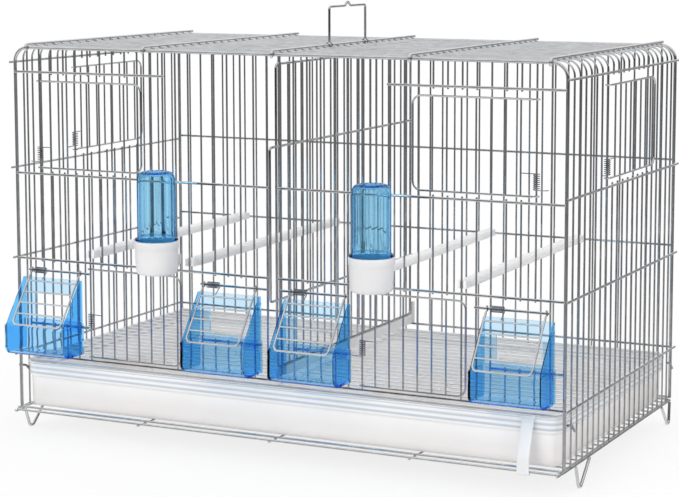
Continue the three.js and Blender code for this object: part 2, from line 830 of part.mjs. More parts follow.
function perch() {
  const rodEnd = depth / 2 - wire / 2 - gap - forkBack / 2;
  const circle = arc(0, 0, perchRadius, 0, 2 * Math.PI, perchSides).slice(0, perchSides);
  const solids = [swept("y", circle, [-rodEnd, rodEnd])];
  for (const side of [-1, 1]) {
    const ordered = (from, to) => (side < 0 ? [-to, -from] : [from, to]);
    const clipY = ordered(depth / 2 - forkBack, depth / 2 + forkTip);
    const clip = bar(span(0, forkWidth), clipY, span(0, forkTall));
    const notchFrom = depth / 2 - wire / 2 - 2 * gap;
    const notch = bar(span(0, wire + 2 * gap), ordered(notchFrom, depth / 2 + overrun), span(0, overrun));
    solids.push(clip.subtract(notch));
  }
  return join(solids);
}

// Carry handle: a wire bail that swings on the middle roof bar
const handleShares = [7.8, 13.2];
const handleTall = 41;
const handlePeak = 4;
const handleWire = 2.4;
const handleEye = 7.6;
const handleHole = 5;
const handleEyeWidth = 3;

function carryHandle() {
  const [near, far] = handleShares.map(sideY);
  const middle = (near + far) / 2;
  const centre = roofFace + roofBar / 2 - gap / 2;
  const peak = handlePeak;
  const top = centre + handleTall;
  const start = centre + handleHole / 2 + handleWire / 4;
  const line = [
    [near, start],
    [near, top - peak],
    [middle - 2 * peak, top - peak],
    [middle, top],
    [middle + 2 * peak, top - peak],
    [far, top - peak],
    [far, start],
  ];
  const solids = [swept("x", ribbon(line, handleWire), span(0, handleWire))];
  const ring = (size) => rectangle(span(centre, size), span(0, size));
  for (const y of [near, far]) {
    solids.push(swept("y", ring(handleEye), span(y, handleEyeWidth), [ring(handleHole)]));
  }
  return join(solids);
}

// Feet: wire loops under the side rails, with their steep leg towards the nearer end of the cage
const footWire = 3;
const footToe = 6;
const feet = [
  { name: "foot_front_left", side: -1, end: -1, inset: 5.5, lean: 11.5, spread: 37 },
  { name: "foot_front_right", side: 1, end: -1, inset: 27.5, lean: 11.5, spread: 37 },
  { name: "foot_back_left", side: -1, end: 1, inset: 3, lean: 5, spread: 27 },
  { name: "foot_back_right", side: 1, end: 1, inset: 3, lean: 5, spread: 27 },
];

function foot({ side, end, inset, lean, spread }) {
  const top = baseHeight - rail / 2 - gap;
  const outer = side * (hoodFace - wire / 2);
  const y = (distance) => end * (depth / 2 - inset - distance);
  const line = [
    [y(0), top + footWire],
    [y(lean - footToe / 2), footWire / 2],
    [y(lean + footToe / 2), footWire / 2],
    [y(spread), top + footWire],
  ];
  const loop = swept("x", ribbon(end < 0 ? line : line.reverse(), footWire), span(outer, footWire));
  return loop.subtract(bar(span(outer, overrun), span(0, 2 * depth), [top, top + overrun]));
}

place("front_panel", frontPanel(), steel);
place("back_panel", backPanel(), steel);
place("hood", hood(), steel);
place("base_grille", baseGrille(), steel);
place("floor_grille", floorGrille(), steel);
place("tray", tray(), trayWhite);
place("tray_latch", trayLatch(), white);
place("divider_panel", dividerPanel(), steel);
place("divider_strip", dividerStrip(), white);
addDoors();
addFeeders();
addDrinkers();
perchShares.forEach((index, k) => {
  place(`perch_${k + 1}`, perch(), white, [frontX(index), 0, feederRail + perchLift]);
});
place("carry_handle", carryHandle(), steel);
feet.forEach((spec) => place(spec.name, foot(spec), steel));
console.log("least gap of a spring to itself", leastCurlGap.toFixed(2), "mm");

// The origin is on the floor, under the middle of the whole cage with its feeders
const bounds = new THREE.Box3().setFromObject(cage);
const middle = bounds.getCenter(new THREE.Vector3());
cage.position.set(-middle.x, -middle.y, -bounds.min.z);

const part = new THREE.Group();
part.add(cage);
export default part;
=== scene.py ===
import math

import bmesh
import bpy
from mathutils import Matrix, Vector

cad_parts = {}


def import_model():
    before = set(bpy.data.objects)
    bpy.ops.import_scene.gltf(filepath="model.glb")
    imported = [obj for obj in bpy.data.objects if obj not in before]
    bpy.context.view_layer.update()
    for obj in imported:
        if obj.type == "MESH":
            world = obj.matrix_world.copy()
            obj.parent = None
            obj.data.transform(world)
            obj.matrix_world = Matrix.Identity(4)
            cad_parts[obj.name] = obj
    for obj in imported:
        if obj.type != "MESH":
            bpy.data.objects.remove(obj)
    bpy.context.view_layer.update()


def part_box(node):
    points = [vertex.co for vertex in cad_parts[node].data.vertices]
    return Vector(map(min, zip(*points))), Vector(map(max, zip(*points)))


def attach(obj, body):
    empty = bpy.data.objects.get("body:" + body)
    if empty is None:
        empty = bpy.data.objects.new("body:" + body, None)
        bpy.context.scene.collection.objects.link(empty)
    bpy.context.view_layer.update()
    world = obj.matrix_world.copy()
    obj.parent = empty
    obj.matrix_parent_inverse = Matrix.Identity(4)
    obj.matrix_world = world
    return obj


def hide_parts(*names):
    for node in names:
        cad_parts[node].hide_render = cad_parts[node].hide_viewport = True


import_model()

# Sizes below are millimetres of the cage: x from its middle to the right, y from its middle to the back,
# z up from the floor. part_point() turns them into the part's metres.
MM = 0.001

# Wire grid
WIRE_PITCH = 14
FRONT_GAPS = 41
SIDE_PITCH = 14.67
SIDE_GAPS = 21
WIDTH = FRONT_GAPS * WIRE_PITCH
DEPTH = SIDE_GAPS * SIDE_PITCH
FRONT_Y = -DEPTH / 2
BACK_Y = DEPTH / 2

# Wire radii
WIRE = 0.9
RAIL = 1.2
FRAME_WIRE = 1.6
ROOF_BAR = 1.5
FINE_WIRE = 0.8

# Clearances, how deep welded wires sink into each other, and how far their ends go on past the weld
GAP = 0.3
WELD_GAP = 0.25
WELD_SINK = 0.15
STUB = 1.5
FRAME_STUB = 3.5

# The wall of the feeders and of the drinkers' tubes
FEEDER_WALL = 1.8

# Heights
FRAME_TOP = 382.5
BASE = 24
UPPER_RAIL = FRAME_TOP - 23.5
DOOR_RAIL = FRAME_TOP - 123
SIDE_UPPER = FRAME_TOP - 14.4
SIDE_MIDDLE = FRAME_TOP - 118
BACK_UPPER = FRAME_TOP - 114
TRAY_TOP = 71
TRAY_BOTTOM = BASE + RAIL + GAP
TRAY_RAIL = TRAY_TOP + 7
SILL = TRAY_RAIL + 32
PIVOT = TRAY_RAIL + 86
FEEDER_RAIL = TRAY_RAIL + 97
BACK_LOWER = TRAY_RAIL + 104

# The rounding of the panels' upper corners
BEND = 14

ORIGIN_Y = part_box("front_panel")[1].y / MM - (FRONT_Y + WIRE + 2 * RAIL)
HOOD_FACE = WIDTH / 2 + FRAME_WIRE + GAP
ROOF_FACE = FRAME_TOP + FRAME_WIRE + GAP

# Places along the grid, counted in wires from the left, or from the front for the side doors
UPPER_HINGE, UPPER_FREE, UPPER_LAST = 2, 10.45, 10
LOWER_HINGE, LOWER_FREE, LOWER_LAST = 6, 13.45, 13
RIGHT_LOWER_HINGE = 27
SIDE_HINGE, SIDE_FREE = 7, 16
SHORT_RAIL_END = 12
SLOT_WIRE = 20
FEEDERS = [
    {"from": 1, "to": 5, "bar": (1, 6), "sill": 5.7, "centre": 3, "flap": 3.2},
    {"from": 15, "to": 19, "bar": (15, 20), "sill": 19.4, "centre": 17.2, "flap": 17.2},
    {"from": 22, "to": 26, "bar": (21, 26), "sill": 26, "centre": 23.8, "flap": 23.8},
    {"from": 36, "to": 40, "bar": (35, 40), "sill": 41, "centre": 38, "flap": 37.8},
]


def front_x(i):
    return (i - FRONT_GAPS / 2) * WIRE_PITCH


def side_y(j):
    return FRONT_Y + j * SIDE_PITCH


def welded(i):
    """Every fourth wire touches its rails; the others of the back, hood and divider stand off by WELD_GAP."""
    return i % 4 == 3


def part_point(p):
    """A point in the cage's millimetres, in the part's metres."""
    return Vector((p[0] * MM, (p[1] + ORIGIN_Y) * MM, p[2] * MM))


# Meshes

# The chamfer at a wire's ends: how long it is and how wide it leaves the end, as shares of the radius
CHAMFER_LONG = 0.45
CHAMFER_WIDE = 0.6


def arc(start, turn, steps):
    """The angles of an arc in radians; start and turn are in degrees."""
    return [math.radians(start + turn * k / steps) for k in range(steps + 1)]


def rounded(path, radius, steps=5):
    """The path with each of its corners turned into an arc."""
    path = [Vector(p) for p in path]
    out = [path[0]]
    for before, here, after in zip(path, path[1:], path[2:]):
        a = (before - here).normalized()
        b = (after - here).normalized()
        angle = a.angle(b)
        if angle > math.radians(175):
            out.append(here)
            continue
        reach = min(radius / math.tan(angle / 2), (before - here).length / 2, (after - here).length / 2)
        centre = here + (a + b).normalized() * reach / math.cos(angle / 2)
        start = here + a * reach - centre
        end = here + b * reach - centre
        swing = start.angle(end)
        for k in range(steps + 1):
            t = k / steps
            way = start * math.sin((1 - t) * swing) + end * math.sin(t * swing)
            out.append(centre + way / math.sin(swing))
    out.append(path[-1])
    return out


class Form:
    """The vertices and faces of one piece, in millimetres of the cage."""

    def __init__(self):
        self.points = []
        self.faces = []

    def ring(self, points):
        start = len(self.points)
        self.points.extend(Vector(p) for p in points)
        return list(range(start, len(self.points)))

    def bridge(self, a, b):
        n = len(a)
        for k in range(n):
            self.faces.append((a[k], a[(k + 1) % n], b[(k + 1) % n], b[k]))

    def bridges(self, rings):
        for a, b in zip(rings, rings[1:]):
            self.bridge(a, b)

    def skin(self, rings):
        """Faces from ring to ring, and one over each end."""
        self.bridges(rings)
        self.faces.append(tuple(reversed(rings[0])))
        self.faces.append(tuple(rings[-1]))
        return self

    def tube(self, path, radius, sides=10, closed=False):
        """A round wire along the path; its ends are chamfered, or joined when it is closed."""
        path = [Vector(p) for p in path]
        count = len(path)
        if closed:
            aheads = [(path[(k + 1) % count] - path[k - 1]).normalized() for k in range(count)]
        else:
            aheads = [(path[min(k + 1, count - 1)] - path[max(k - 1, 0)]).normalized() for k in range(count)]
        stations = [(p, ahead, 1) for p, ahead in zip(path, aheads)]
        if not closed:
            chamfer = radius * CHAMFER_LONG
            first = (path[0], aheads[0], CHAMFER_WIDE)
            start = (path[0] + aheads[0] * chamfer, aheads[0], 1)
            end = (path[-1] - aheads[-1] * chamfer, aheads[-1], 1)
            last = (path[-1], aheads[-1], CHAMFER_WIDE)
            stations = [first, start] + stations[1:-1] + [end, last]
        side = aheads[0].orthogonal().normalized()
        turns = [2 * math.pi * s / sides for s in range(sides)]
        rings = []
        for p, ahead, share in stations:
            side = (side - ahead * side.dot(ahead)).normalized()
            up = ahead.cross(side)
            r = radius * share
            rings.append(self.ring(p + (side * math.cos(t) + up * math.sin(t)) * r for t in turns))
        if not closed:
            return self.skin(rings)
        self.bridges(rings)
        self.join_twisted(rings[-1], rings[0])
        return self

    def join_twisted(self, a, b):
        """A bridge that starts where the two rings come nearest to each other."""
        n = len(a)
        best = min(range(n), key=lambda s: (self.points[a[0]] - self.points[b[s]]).length)
        self.bridge(a, [b[(best + k) % n] for k in range(n)])

    def rod(self, start, end, radius):
        return self.tube([start, end], radius)

    def moved(self, matrix):
        self.points = [matrix @ p for p in self.points]
        return self

    def add(self, other):
        start = len(self.points)
        self.points.extend(other.points)
        self.faces.extend(tuple(v + start for v in f) for f in other.faces)
        return self


def prism(profile, x0, x1):
    """The (y, z) profile drawn out from x0 to x1."""
    form = Form()
    return form.skin([form.ring((x, y, z) for y, z in profile) for x in (x0, x1)])


def linked(name, data):
    obj = bpy.data.objects.new(name, data)
    bpy.context.scene.collection.objects.link(obj)
    return obj


def finish_faces(mesh, bevel=0, where=None):
    """Turns the faces outwards, and rounds the edges that where picks by bevel."""
    b = bmesh.new()
    b.from_mesh(mesh)
    bmesh.ops.recalc_face_normals(b, faces=b.faces)
    if bevel:
        chosen = [e for e in b.edges if where(e)]
        bmesh.ops.bevel(
            b, geom=chosen, offset=bevel, segments=5, profile=0.5, affect="EDGES", clamp_overlap=True,
        )
    b.to_mesh(mesh)
    b.free()


def piece(name, form, body, material, stands_for=(), sharp=35, bevel=0):
    """A visible piece that moves with body and may replace CAD nodes; bevel is in millimetres."""
    mesh = bpy.data.meshes.new(name)
    mesh.from_pydata([part_point(p) for p in form.points], [], form.faces)
    mesh.validate()
    finish_faces(mesh)
    mesh.shade_smooth()
    mesh.set_sharp_from_angle(angle=math.radians(sharp))
    mesh.materials.append(material)
    obj = linked(name, mesh)
    if bevel:
        m = obj.modifiers.new("edges", "BEVEL")
        m.width = bevel * MM
        m.segments = 3
        m.limit_method = "ANGLE"
        m.angle_limit = math.radians(30)
    if stands_for:
        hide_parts(*stands_for)
    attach(obj, body)


# Materials


def nodes_of(name):
    """A new material with its node tree and the shader in it."""
    m = bpy.data.materials.new(name)
    m.use_nodes = True
    tree = m.node_tree
    tree.nodes.clear()
    out = tree.nodes.new("ShaderNodeOutputMaterial")
    shader = tree.nodes.new("ShaderNodeBsdfPrincipled")
    tree.links.new(shader.outputs[0], out.inputs[0])
    return m, tree, shader


def node_of(tree, kind):
    return next(node for node in tree.nodes if node.type == kind)


def feed(tree, node, values):
    """Links other nodes' outputs to inputs of the node, or sets plain values there."""
    for name, value in values.items():
        if isinstance(value, bpy.types.NodeSocket):
            tree.links.new(value, node.inputs[name])
        else:
            node.inputs[name].default_value = value


def along_axis(tree, kind, axis):
    """One axis of the texture coordinates of this kind."""
    coords = tree.nodes.new("ShaderNodeTexCoord")
    split = tree.nodes.new("ShaderNodeSeparateXYZ")
    tree.links.new(coords.outputs[kind], split.inputs[0])
    return split.outputs[axis]


def noise(tree, scale, detail=3, roughness=0.5, stretch=(1, 1, 1)):
    """Cloudy values from 0 to 1, with about scale clouds to a metre."""
    coords = tree.nodes.new("ShaderNodeTexCoord")
    mapping = tree.nodes.new("ShaderNodeMapping")
    feed(tree, mapping, {"Vector": coords.outputs["Object"], "Scale": stretch})
    texture = tree.nodes.new("ShaderNodeTexNoise")
    feed(tree, texture, {"Vector": mapping.outputs[0], "Scale": scale})
    feed(tree, texture, {"Detail": detail, "Roughness": roughness})
    return texture.outputs[0]


def ranged(tree, value, low, high, start=0.35, end=0.65):
    """low to high as the value goes from start to end."""
    node = tree.nodes.new("ShaderNodeMapRange")
    feed(tree, node, {"Value": value, "From Min": start, "From Max": end, "To Min": low, "To Max": high})
    return node.outputs[0]


def colours(tree, value, dark, light, start=0.35, end=0.65):
    """dark to light as the value goes from start to end."""
    ramp = tree.nodes.new("ShaderNodeValToRGB")
    for stop, place, colour in zip(ramp.color_ramp.elements, (start, end), (dark, light)):
        stop.position = place
        stop.color = (*colour, 1)
    tree.links.new(value, ramp.inputs[0])
    return ramp.outputs[0]


def math_node(tree, operation, a, b, clamp=False):
    node = tree.nodes.new("ShaderNodeMath")
    node.operation = operation
    node.use_clamp = clamp
    feed(tree, node, {0: a, 1: b})
    return node.outputs[0]


def mixed(tree, factor, a, b, blend="MIX"):
    """The colours a and b, blended by the factor."""
    node = tree.nodes.new("ShaderNodeMix")
    node.data_type = "RGBA"
    node.blend_type = blend
    feed(tree, node, {"Factor": factor, "A": a, "B": b})
    return node.outputs["Result"]


def bumps(tree, shader, value, strength, distance):
    bump = tree.nodes.new("ShaderNodeBump")
    feed(tree, bump, {"Height": value, "Strength": strength, "Distance": distance})
    tree.links.new(bump.outputs[0], shader.inputs["Normal"])


def plated_wire(name, dark, light, low_rough, high_rough):
    """Zinc-plated drawn wire: bright metal with a cloudy plating and fine draw marks."""
    m, tree, shader = nodes_of(name)
    cloud = noise(tree, 90, 4)
    grain = noise(tree, 2200, 3, 0.6)
    rough = ranged(tree, cloud, low_rough, high_rough)
    feed(tree, shader, {"Base Color": colours(tree, cloud, dark, light), "Roughness": rough, "Metallic": 1})
    bumps(tree, shader, grain, strength=0.12, distance=0.00008)
    return m


def clear_plastic(name, skin, through, wall, side_tint):
    """Moulded clear plastic: a tint that deepens with thickness, glossy, with faint flow marks.

    skin is the tint of its faces, and through is the light that a wall, given in millimetres, lets
    pass. The side walls are thicker in the real moulding, which side_tint stands for.
    """
    m, tree, shader = nodes_of(name)
    cloud = noise(tree, 35, 2)
    ripple = noise(tree, 120, 2, stretch=(1, 1, 0.35))
    tint = colours(tree, cloud, tuple(0.97 * share for share in skin), skin, 0.3, 0.7)
    facing = along_axis(tree, "Normal", "X")
    sideways = ranged(tree, math_node(tree, "MULTIPLY", facing, facing), 0, 1, 0.3, 0.8)
    colour = mixed(tree, sideways, tint, (*side_tint, 1))
    feed(tree, shader, {"Base Color": colour, "Roughness": ranged(tree, cloud, 0.02, 0.06)})
    feed(tree, shader, {"Transmission Weight": 1, "IOR": 1.12, "Coat Weight": 0.1, "Coat Roughness": 0.03})
    bumps(tree, shader, ripple, strength=0.03, distance=0.0003)
    lost = [-math.log(share) / (wall * MM) for share in through]
    volume = tree.nodes.new("ShaderNodeVolumeAbsorption")
    feed(tree, volume, {"Density": max(lost), "Color": (*(1 - value / max(lost) for value in lost), 1)})
    tree.links.new(volume.outputs[0], node_of(tree, "OUTPUT_MATERIAL").inputs["Volume"])
    return m


def moulded_plastic(name, dark, light, low_rough, high_rough, sheen=0, depth=0.002):
    """Opaque or milky moulded plastic with a fine spark-eroded grain; light enters to depth, in metres."""
    m, tree, shader = nodes_of(name)
    cloud = noise(tree, 22)
    grain = noise(tree, 1500, 2, 0.6)
    rough = ranged(tree, cloud, low_rough, high_rough)
    feed(tree, shader, {"Base Color": colours(tree, cloud, dark, light), "Roughness": rough})
    feed(tree, shader, {"Subsurface Weight": 0.25, "Subsurface Radius": (1, 1, 1), "Subsurface Scale": depth})
    feed(tree, shader, {"Coat Weight": sheen, "Coat Roughness": 0.12})
    bumps(tree, shader, grain, strength=0.1, distance=0.0001)
    return m


# Millimetres below the tray's top, and the colour painted there: painted contact shade at the foot, a painted
# highlight high on the wall, and painted reflections as blue-grey streaks on the stepped lip
TRAY_PAINTED_LIGHT = [
    (45.2, (0.6, 0.57, 0.53)), (44.4, (0.93, 0.91, 0.9)), (30, (0.93, 0.915, 0.91)), (18, (0.99, 0.99, 1)),
    (12.5, (1, 1, 1)), (11.6, (0.6, 0.67, 0.76)), (10.2, (0.66, 0.72, 0.8)), (9.4, (1, 1, 1)),
    (7.6, (0.97, 0.98, 1)), (6.6, (0.62, 0.69, 0.78)), (5, (0.74, 0.79, 0.86)), (4, (1, 1, 1)),
    (2.4, (0.98, 0.99, 1)), (1.4, (0.64, 0.71, 0.8)), (0, (0.95, 0.97, 1)),
]


def tray_plastic(name):
    """Thin glossy moulding: a warm white body, with painted shade at its foot, a painted highlight below the
    lip and painted reflections as cooler streaks on the lip's steps.
    """
    m = moulded_plastic(name, (0.91, 0.895, 0.88), (0.935, 0.922, 0.908), 0.14, 0.22, sheen=0.4, depth=0.004)
    tree = m.node_tree
    colour = node_of(tree, "BSDF_PRINCIPLED").inputs["Base Color"]
    body = colour.links[0].from_socket
    ramp = tree.nodes.new("ShaderNodeValToRGB")
    stops = ramp.color_ramp.elements
    for below, shade in TRAY_PAINTED_LIGHT:
        stop = stops.new(1 - below / (TRAY_TOP - TRAY_BOTTOM))
        stop.color = (*shade, 1)
    stops.remove(stops[0])
    stops.remove(stops[-1])
    lift = ranged(tree, along_axis(tree, "Object", "Z"), 0, 1, TRAY_BOTTOM * MM, TRAY_TOP * MM)
    tree.links.new(lift, ramp.inputs[0])
    # Multiplies the body's colour by the painted shade, painted highlight and painted reflections, picked by
    # height up the tray
    tree.links.new(mixed(tree, 1, body, ramp.outputs[0], "MULTIPLY"), colour)
    return m


ZINC = plated_wire("zinc_wire", (0.48, 0.485, 0.495), (0.6, 0.605, 0.615), 0.1, 0.16)
ZINC_FRAME = plated_wire("zinc_frame_wire", (0.54, 0.545, 0.555), (0.66, 0.665, 0.675), 0.1, 0.15)
ZINC_BASE = plated_wire("zinc_base_wire", (0.6, 0.605, 0.615), (0.7, 0.705, 0.715), 0.18, 0.28)
# Painted light: a lit copy of the zinc wire for the tray's floor grille, painted much paler so that the
# grille looks lit inside the tray
ZINC_PAINTED_LIT = plated_wire("zinc_floor_wire_painted_lit", (0.9, 0.91, 0.93), (0.95, 0.96, 0.975), 0.34, 0.46)
SPRING = plated_wire("spring_wire", (0.22, 0.23, 0.24), (0.34, 0.35, 0.37), 0.2, 0.34)
BLUE = clear_plastic("blue_plastic", (0.78, 0.93, 1), (0.8, 0.91, 0.998), FEEDER_WALL, (0.18, 0.58, 0.97))
TUBE_TINT = (0.72, 0.91, 0.98)
BLUE_TUBE = clear_plastic("blue_tube_plastic", TUBE_TINT, (0.78, 0.9, 0.98), FEEDER_WALL, TUBE_TINT)
WHITE = moulded_plastic("white_plastic", (0.76, 0.75, 0.755), (0.82, 0.81, 0.815), 0.3, 0.42)
# Painted light: a lit copy of the white plastic for the perches, painted paler to stand in for light where
# the perches lie in shade
ROD_PAINTED_LIT = moulded_plastic("rod_plastic_painted_lit", (0.88, 0.88, 0.885), (0.92, 0.92, 0.925), 0.3, 0.42)
TRAY = tray_plastic("tray_plastic")
LATCH = moulded_plastic(
    "latch_plastic", (0.78, 0.785, 0.795), (0.82, 0.825, 0.835), 0.2, 0.3, sheen=0.3, depth=0.004,
)


# Wire panels


def remaining(low, high, cuts):
    """What is left of low to high once the cuts are out of it."""
    parts = [(low, high)]
    for a, b in cuts:
        parts = [q for c, d in parts for q in ((c, min(d, a)), (max(c, b), d)) if q[1] > q[0]]
    return parts


def front_cuts(i):
    """Where front wire i is interrupted by a door or a feeder."""
    past = RAIL + STUB
    cuts = []
    if any(UPPER_HINGE < k < UPPER_LAST for k in (i, FRONT_GAPS - i)):
        cuts.append((DOOR_RAIL + past, UPPER_RAIL - past))
    right_last = RIGHT_LOWER_HINGE + LOWER_LAST - LOWER_HINGE
    if LOWER_HINGE < i < LOWER_LAST or RIGHT_LOWER_HINGE < i < right_last:
        cuts.append((0, FEEDER_RAIL - past))
    if any(f["from"] < i < f["to"] for f in FEEDERS):
        cuts.append((SILL + past, FEEDER_RAIL - past))
    return cuts


def arch_path(y, half, bottom, top, radius):
    return rounded([(-half, y, bottom), (-half, y, top), (half, y, top), (half, y, bottom)], radius, 7)


def panel_frame(name, y):
    """The bent wire round the front or back panel."""
    form = Form().tube(arch_path(y, WIDTH / 2, BASE + RAIL + GAP, FRAME_TOP, BEND), FRAME_WIRE, 14)
    piece(name, form, "cage", ZINC_FRAME)


def front_panel():
    wires = Form()
    for i in range(1, FRONT_GAPS):
        for low, high in remaining(TRAY_RAIL, FRAME_TOP, front_cuts(i)):
            wires.rod((front_x(i), FRONT_Y, low), (front_x(i), FRONT_Y, high), WIRE)
    face = FRONT_Y - WIRE - RAIL + WELD_SINK
    wires.rod((-WIDTH / 2, FRONT_Y, TRAY_RAIL), (WIDTH / 2, FRONT_Y, TRAY_RAIL), RAIL)
    for height, last in ((UPPER_RAIL, SHORT_RAIL_END), (DOOR_RAIL, SLOT_WIRE), (FEEDER_RAIL, SLOT_WIRE)):
        inner = front_x(last) + WIRE + STUB
        for way in (-1, 1):
            wires.rod((way * WIDTH / 2, face, height), (-way * inner, face, height), RAIL)
    for f in FEEDERS:
        a, b = (front_x(k) for k in f["bar"])
        wires.rod((a - WIRE, face, PIVOT), (b + WIRE, face, PIVOT), RAIL)
        behind = FRONT_Y + WIRE + RAIL - WELD_SINK
        wires.rod((front_x(f["from"]) - STUB, behind, SILL), (front_x(f["sill"]), behind, SILL), RAIL)
    piece("front_wires", wires, "cage", ZINC, ("front_panel",))
    panel_frame("front_frame", FRONT_Y)


def back_panel():
    wires = Form()
    bottom = BASE + 2 * RAIL + GAP
    for i in range(1, FRONT_GAPS):
        y = BACK_Y - (0 if welded(i) else WELD_GAP)
        wires.rod((front_x(i), y, bottom), (front_x(i), y, FRAME_TOP), WIRE)
    wires.rod((-WIDTH / 2, BACK_Y, bottom), (WIDTH / 2, BACK_Y, bottom), RAIL)
    face = BACK_Y + WIRE + RAIL - WELD_SINK
    for height in (BACK_UPPER, BACK_LOWER, TRAY_RAIL):
        wires.rod((-WIDTH / 2, face, height), (WIDTH / 2, face, height), RAIL)
    piece("back_wires", wires, "cage", ZINC, ("back_panel",))
    panel_frame("back_frame", BACK_Y)


# Where the roof's bars lie, as shares of the width
ROOF_BARS = (0.026, 0.258, 0.5, 0.742, 0.974)


def hood():
    wires = Form()
    sill, lintel = SIDE_MIDDLE + RAIL + STUB, SIDE_UPPER - RAIL - STUB
    for j in range(1, SIDE_GAPS):
        cut_open = SIDE_HINGE < j < SIDE_FREE
        back = 0 if cut_open or welded(j) else WELD_GAP
        half = HOOD_FACE - back - WIRE
        top = ROOF_FACE - back - WIRE
        y = side_y(j)
        low = lintel if cut_open else BASE
        wires.tube(arch_path(y, half, low, top, BEND - 1), WIRE)
        if cut_open:
            for way in (-1, 1):
                wires.rod((way * half, y, BASE), (way * half, y, sill), WIRE)
    rails = Form()
    reach = FRAME_WIRE + FRAME_STUB
    for way in (-1, 1):
        x = way * (HOOD_FACE + RAIL - WELD_SINK)
        for height in (SIDE_UPPER, SIDE_MIDDLE, FEEDER_RAIL, TRAY_RAIL):
            rails.rod((x, FRONT_Y - reach, height), (x, BACK_Y + reach, height), RAIL)
        x = way * (HOOD_FACE - WIRE)
        rails.rod((x, FRONT_Y - 5, BASE), (x, BACK_Y - FRAME_WIRE - GAP, BASE), RAIL)
    bars = Form()
    z = ROOF_FACE + ROOF_BAR - WELD_SINK
    curl = z - FRAME_TOP
    for share in ROOF_BARS:
        x = (share - 0.5) * WIDTH
        hook = [(x, FRONT_Y - curl * math.cos(t), FRAME_TOP + curl * math.sin(t)) for t in arc(-55, 145, 9)]
        bars.tube(hook + [(x, BACK_Y + reach, z)], ROOF_BAR, 12)
    piece("hood_wires", wires, "cage", ZINC, ("hood",))
    piece("hood_rails", rails, "cage", ZINC)
    piece("roof_bars", bars, "cage", ZINC_BASE)


# How far the toe wire stands in front of the panel, and the places of the long wires under the grids,
# as shares of the width
TOE_REACH = 12
STRETCHERS = (0.25, 0.5, 0.75)


def toe_hook(x, toe):
    """The end of a cross wire, curled up in front of the toe wire and clear of the tray."""
    curl = RAIL + WIRE
    return [(x, toe + curl * math.cos(t), BASE + curl * math.sin(t)) for t in arc(-90, -98, 8)]


def base_grille():
    side = HOOD_FACE - WIRE - 2 * RAIL - GAP
    toe = FRONT_Y - TOE_REACH
    wires = Form()
    ring = [(-side, BACK_Y, BASE), (-side, toe, BASE), (side, toe, BASE), (side, BACK_Y, BASE)]
    wires.tube(rounded(ring, 4, 5), RAIL)
    for y in (FRONT_Y, BACK_Y):
        wires.rod((-side, y, BASE), (side, y, BASE), RAIL)
    for j in range(1, SIDE_GAPS):
        wires.rod((-side, side_y(j), BASE), (side, side_y(j), BASE), WIRE)
    under = BASE - RAIL - WIRE
    for share in STRETCHERS:
        x = (share - 0.5) * WIDTH
        wires.tube([(x, BACK_Y, under)] + toe_hook(x, toe), WIRE)
    for way in (-1, 1):
        wires.tube([(way * side, FRONT_Y, under)] + toe_hook(way * side, toe), WIRE)
    piece("base_wires", wires, "cage", ZINC_BASE, ("base_grille",))


TRAY_LIP = 4
TRAY_HALF = WIDTH / 2 - FRAME_WIRE - GAP - TRAY_LIP
TRAY_FRONT = FRONT_Y + TRAY_LIP - FRAME_WIRE
TRAY_BACK = BACK_Y - FRAME_WIRE - GAP - TRAY_LIP
TRAY_CORNER = 12


def floor_grille():
    low = TRAY_TOP + GAP + RAIL
    side = TRAY_HALF - RAIL
    near, far = TRAY_FRONT + RAIL, TRAY_BACK - RAIL
    wires = Form()
    start = (0, near, low)
    corners = [start, (side, near, low), (side, far, low), (-side, far, low), (-side, near, low), start]
    wires.tube(rounded(corners, 5)[:-1], RAIL, closed=True)
    for share in STRETCHERS:
        x = (share - 0.5) * WIDTH
        wires.rod((x, near, low), (x, far, low), FINE_WIRE)
    level = low + FINE_WIRE * 2 + 0.2
    for j in range(1, SIDE_GAPS):
        y = side_y(j)
        line = [(-side, y, low + 0.6), (-side + 4, y, level), (side - 4, y, level), (side, y, low + 0.6)]
        wires.tube(rounded(line, 3, 3), FINE_WIRE)
    piece("floor_wires", wires, "tray", ZINC_PAINTED_LIT, ("floor_grille",))


# Tray and latch


def rounded_rectangle(half, near, far, radius, steps=8):
    """An outline round the cage's middle, which lies between near and far."""
    out = []
    for turn, (x, y) in enumerate([(half, far), (-half, far), (-half, near), (half, near)]):
        cx = x - math.copysign(radius, x)
        cy = y - math.copysign(radius, y)
        for k in range(steps + 1):
            t = (turn + k / steps) * math.pi / 2
            out.append((cx + radius * math.cos(t), cy + radius * math.sin(t)))
    return out


def tray():
    # From under the foot up the wall, over the lip and down inside: how far outside the tray's wall,
    # and the height from its bottom, or for the lip from its top
    foot = [(-9, 0), (-4, 0), (-1.6, 0.9), (-0.4, 3.5), (0, 8)]
    lip = [
        (0.2, -16.5), (0.5, -15.2), (1.9, -14.4), (2.4, -13.4), (2.4, -6.6), (2.6, -5.6), (3.0, -5),
        (3.3, -4.4), (3.4, -3.4), (3.4, -1.8), (4, -1.4), (4, -0.6), (3.5, 0), (1.4, 0), (0.6, -0.5),
        (0.2, -1.6), (0, -6), (-0.6, -7.4), (-0.9, -9), (-1.4, -16), (-2, -18),
    ]
    inside = [(-2.3, 9), (-3, 4.2), (-4.6, 2.6), (-9, 2.2)]
    profile = [(grow, TRAY_BOTTOM + z) for grow, z in foot] + [(grow, TRAY_TOP + z) for grow, z in lip]
    profile += [(grow, TRAY_BOTTOM + z) for grow, z in inside]
    form = Form()
    rings = []
    for grow, z in profile:
        outline = rounded_rectangle(TRAY_HALF + grow, TRAY_FRONT - grow, TRAY_BACK + grow, TRAY_CORNER + grow)
        rings.append(form.ring((x, y, z) for x, y in outline))
    piece("litter_tray", form.skin(rings), "tray", TRAY, ("tray",), sharp=50)


LATCH_X = (0.9425 - 0.5) * WIDTH
LATCH_HALF = 6
LATCH_WAIST = 0.16
LATCH_THICK = 0.78
BARREL_HALF = 7.4
BARREL_RADIUS = 1.48


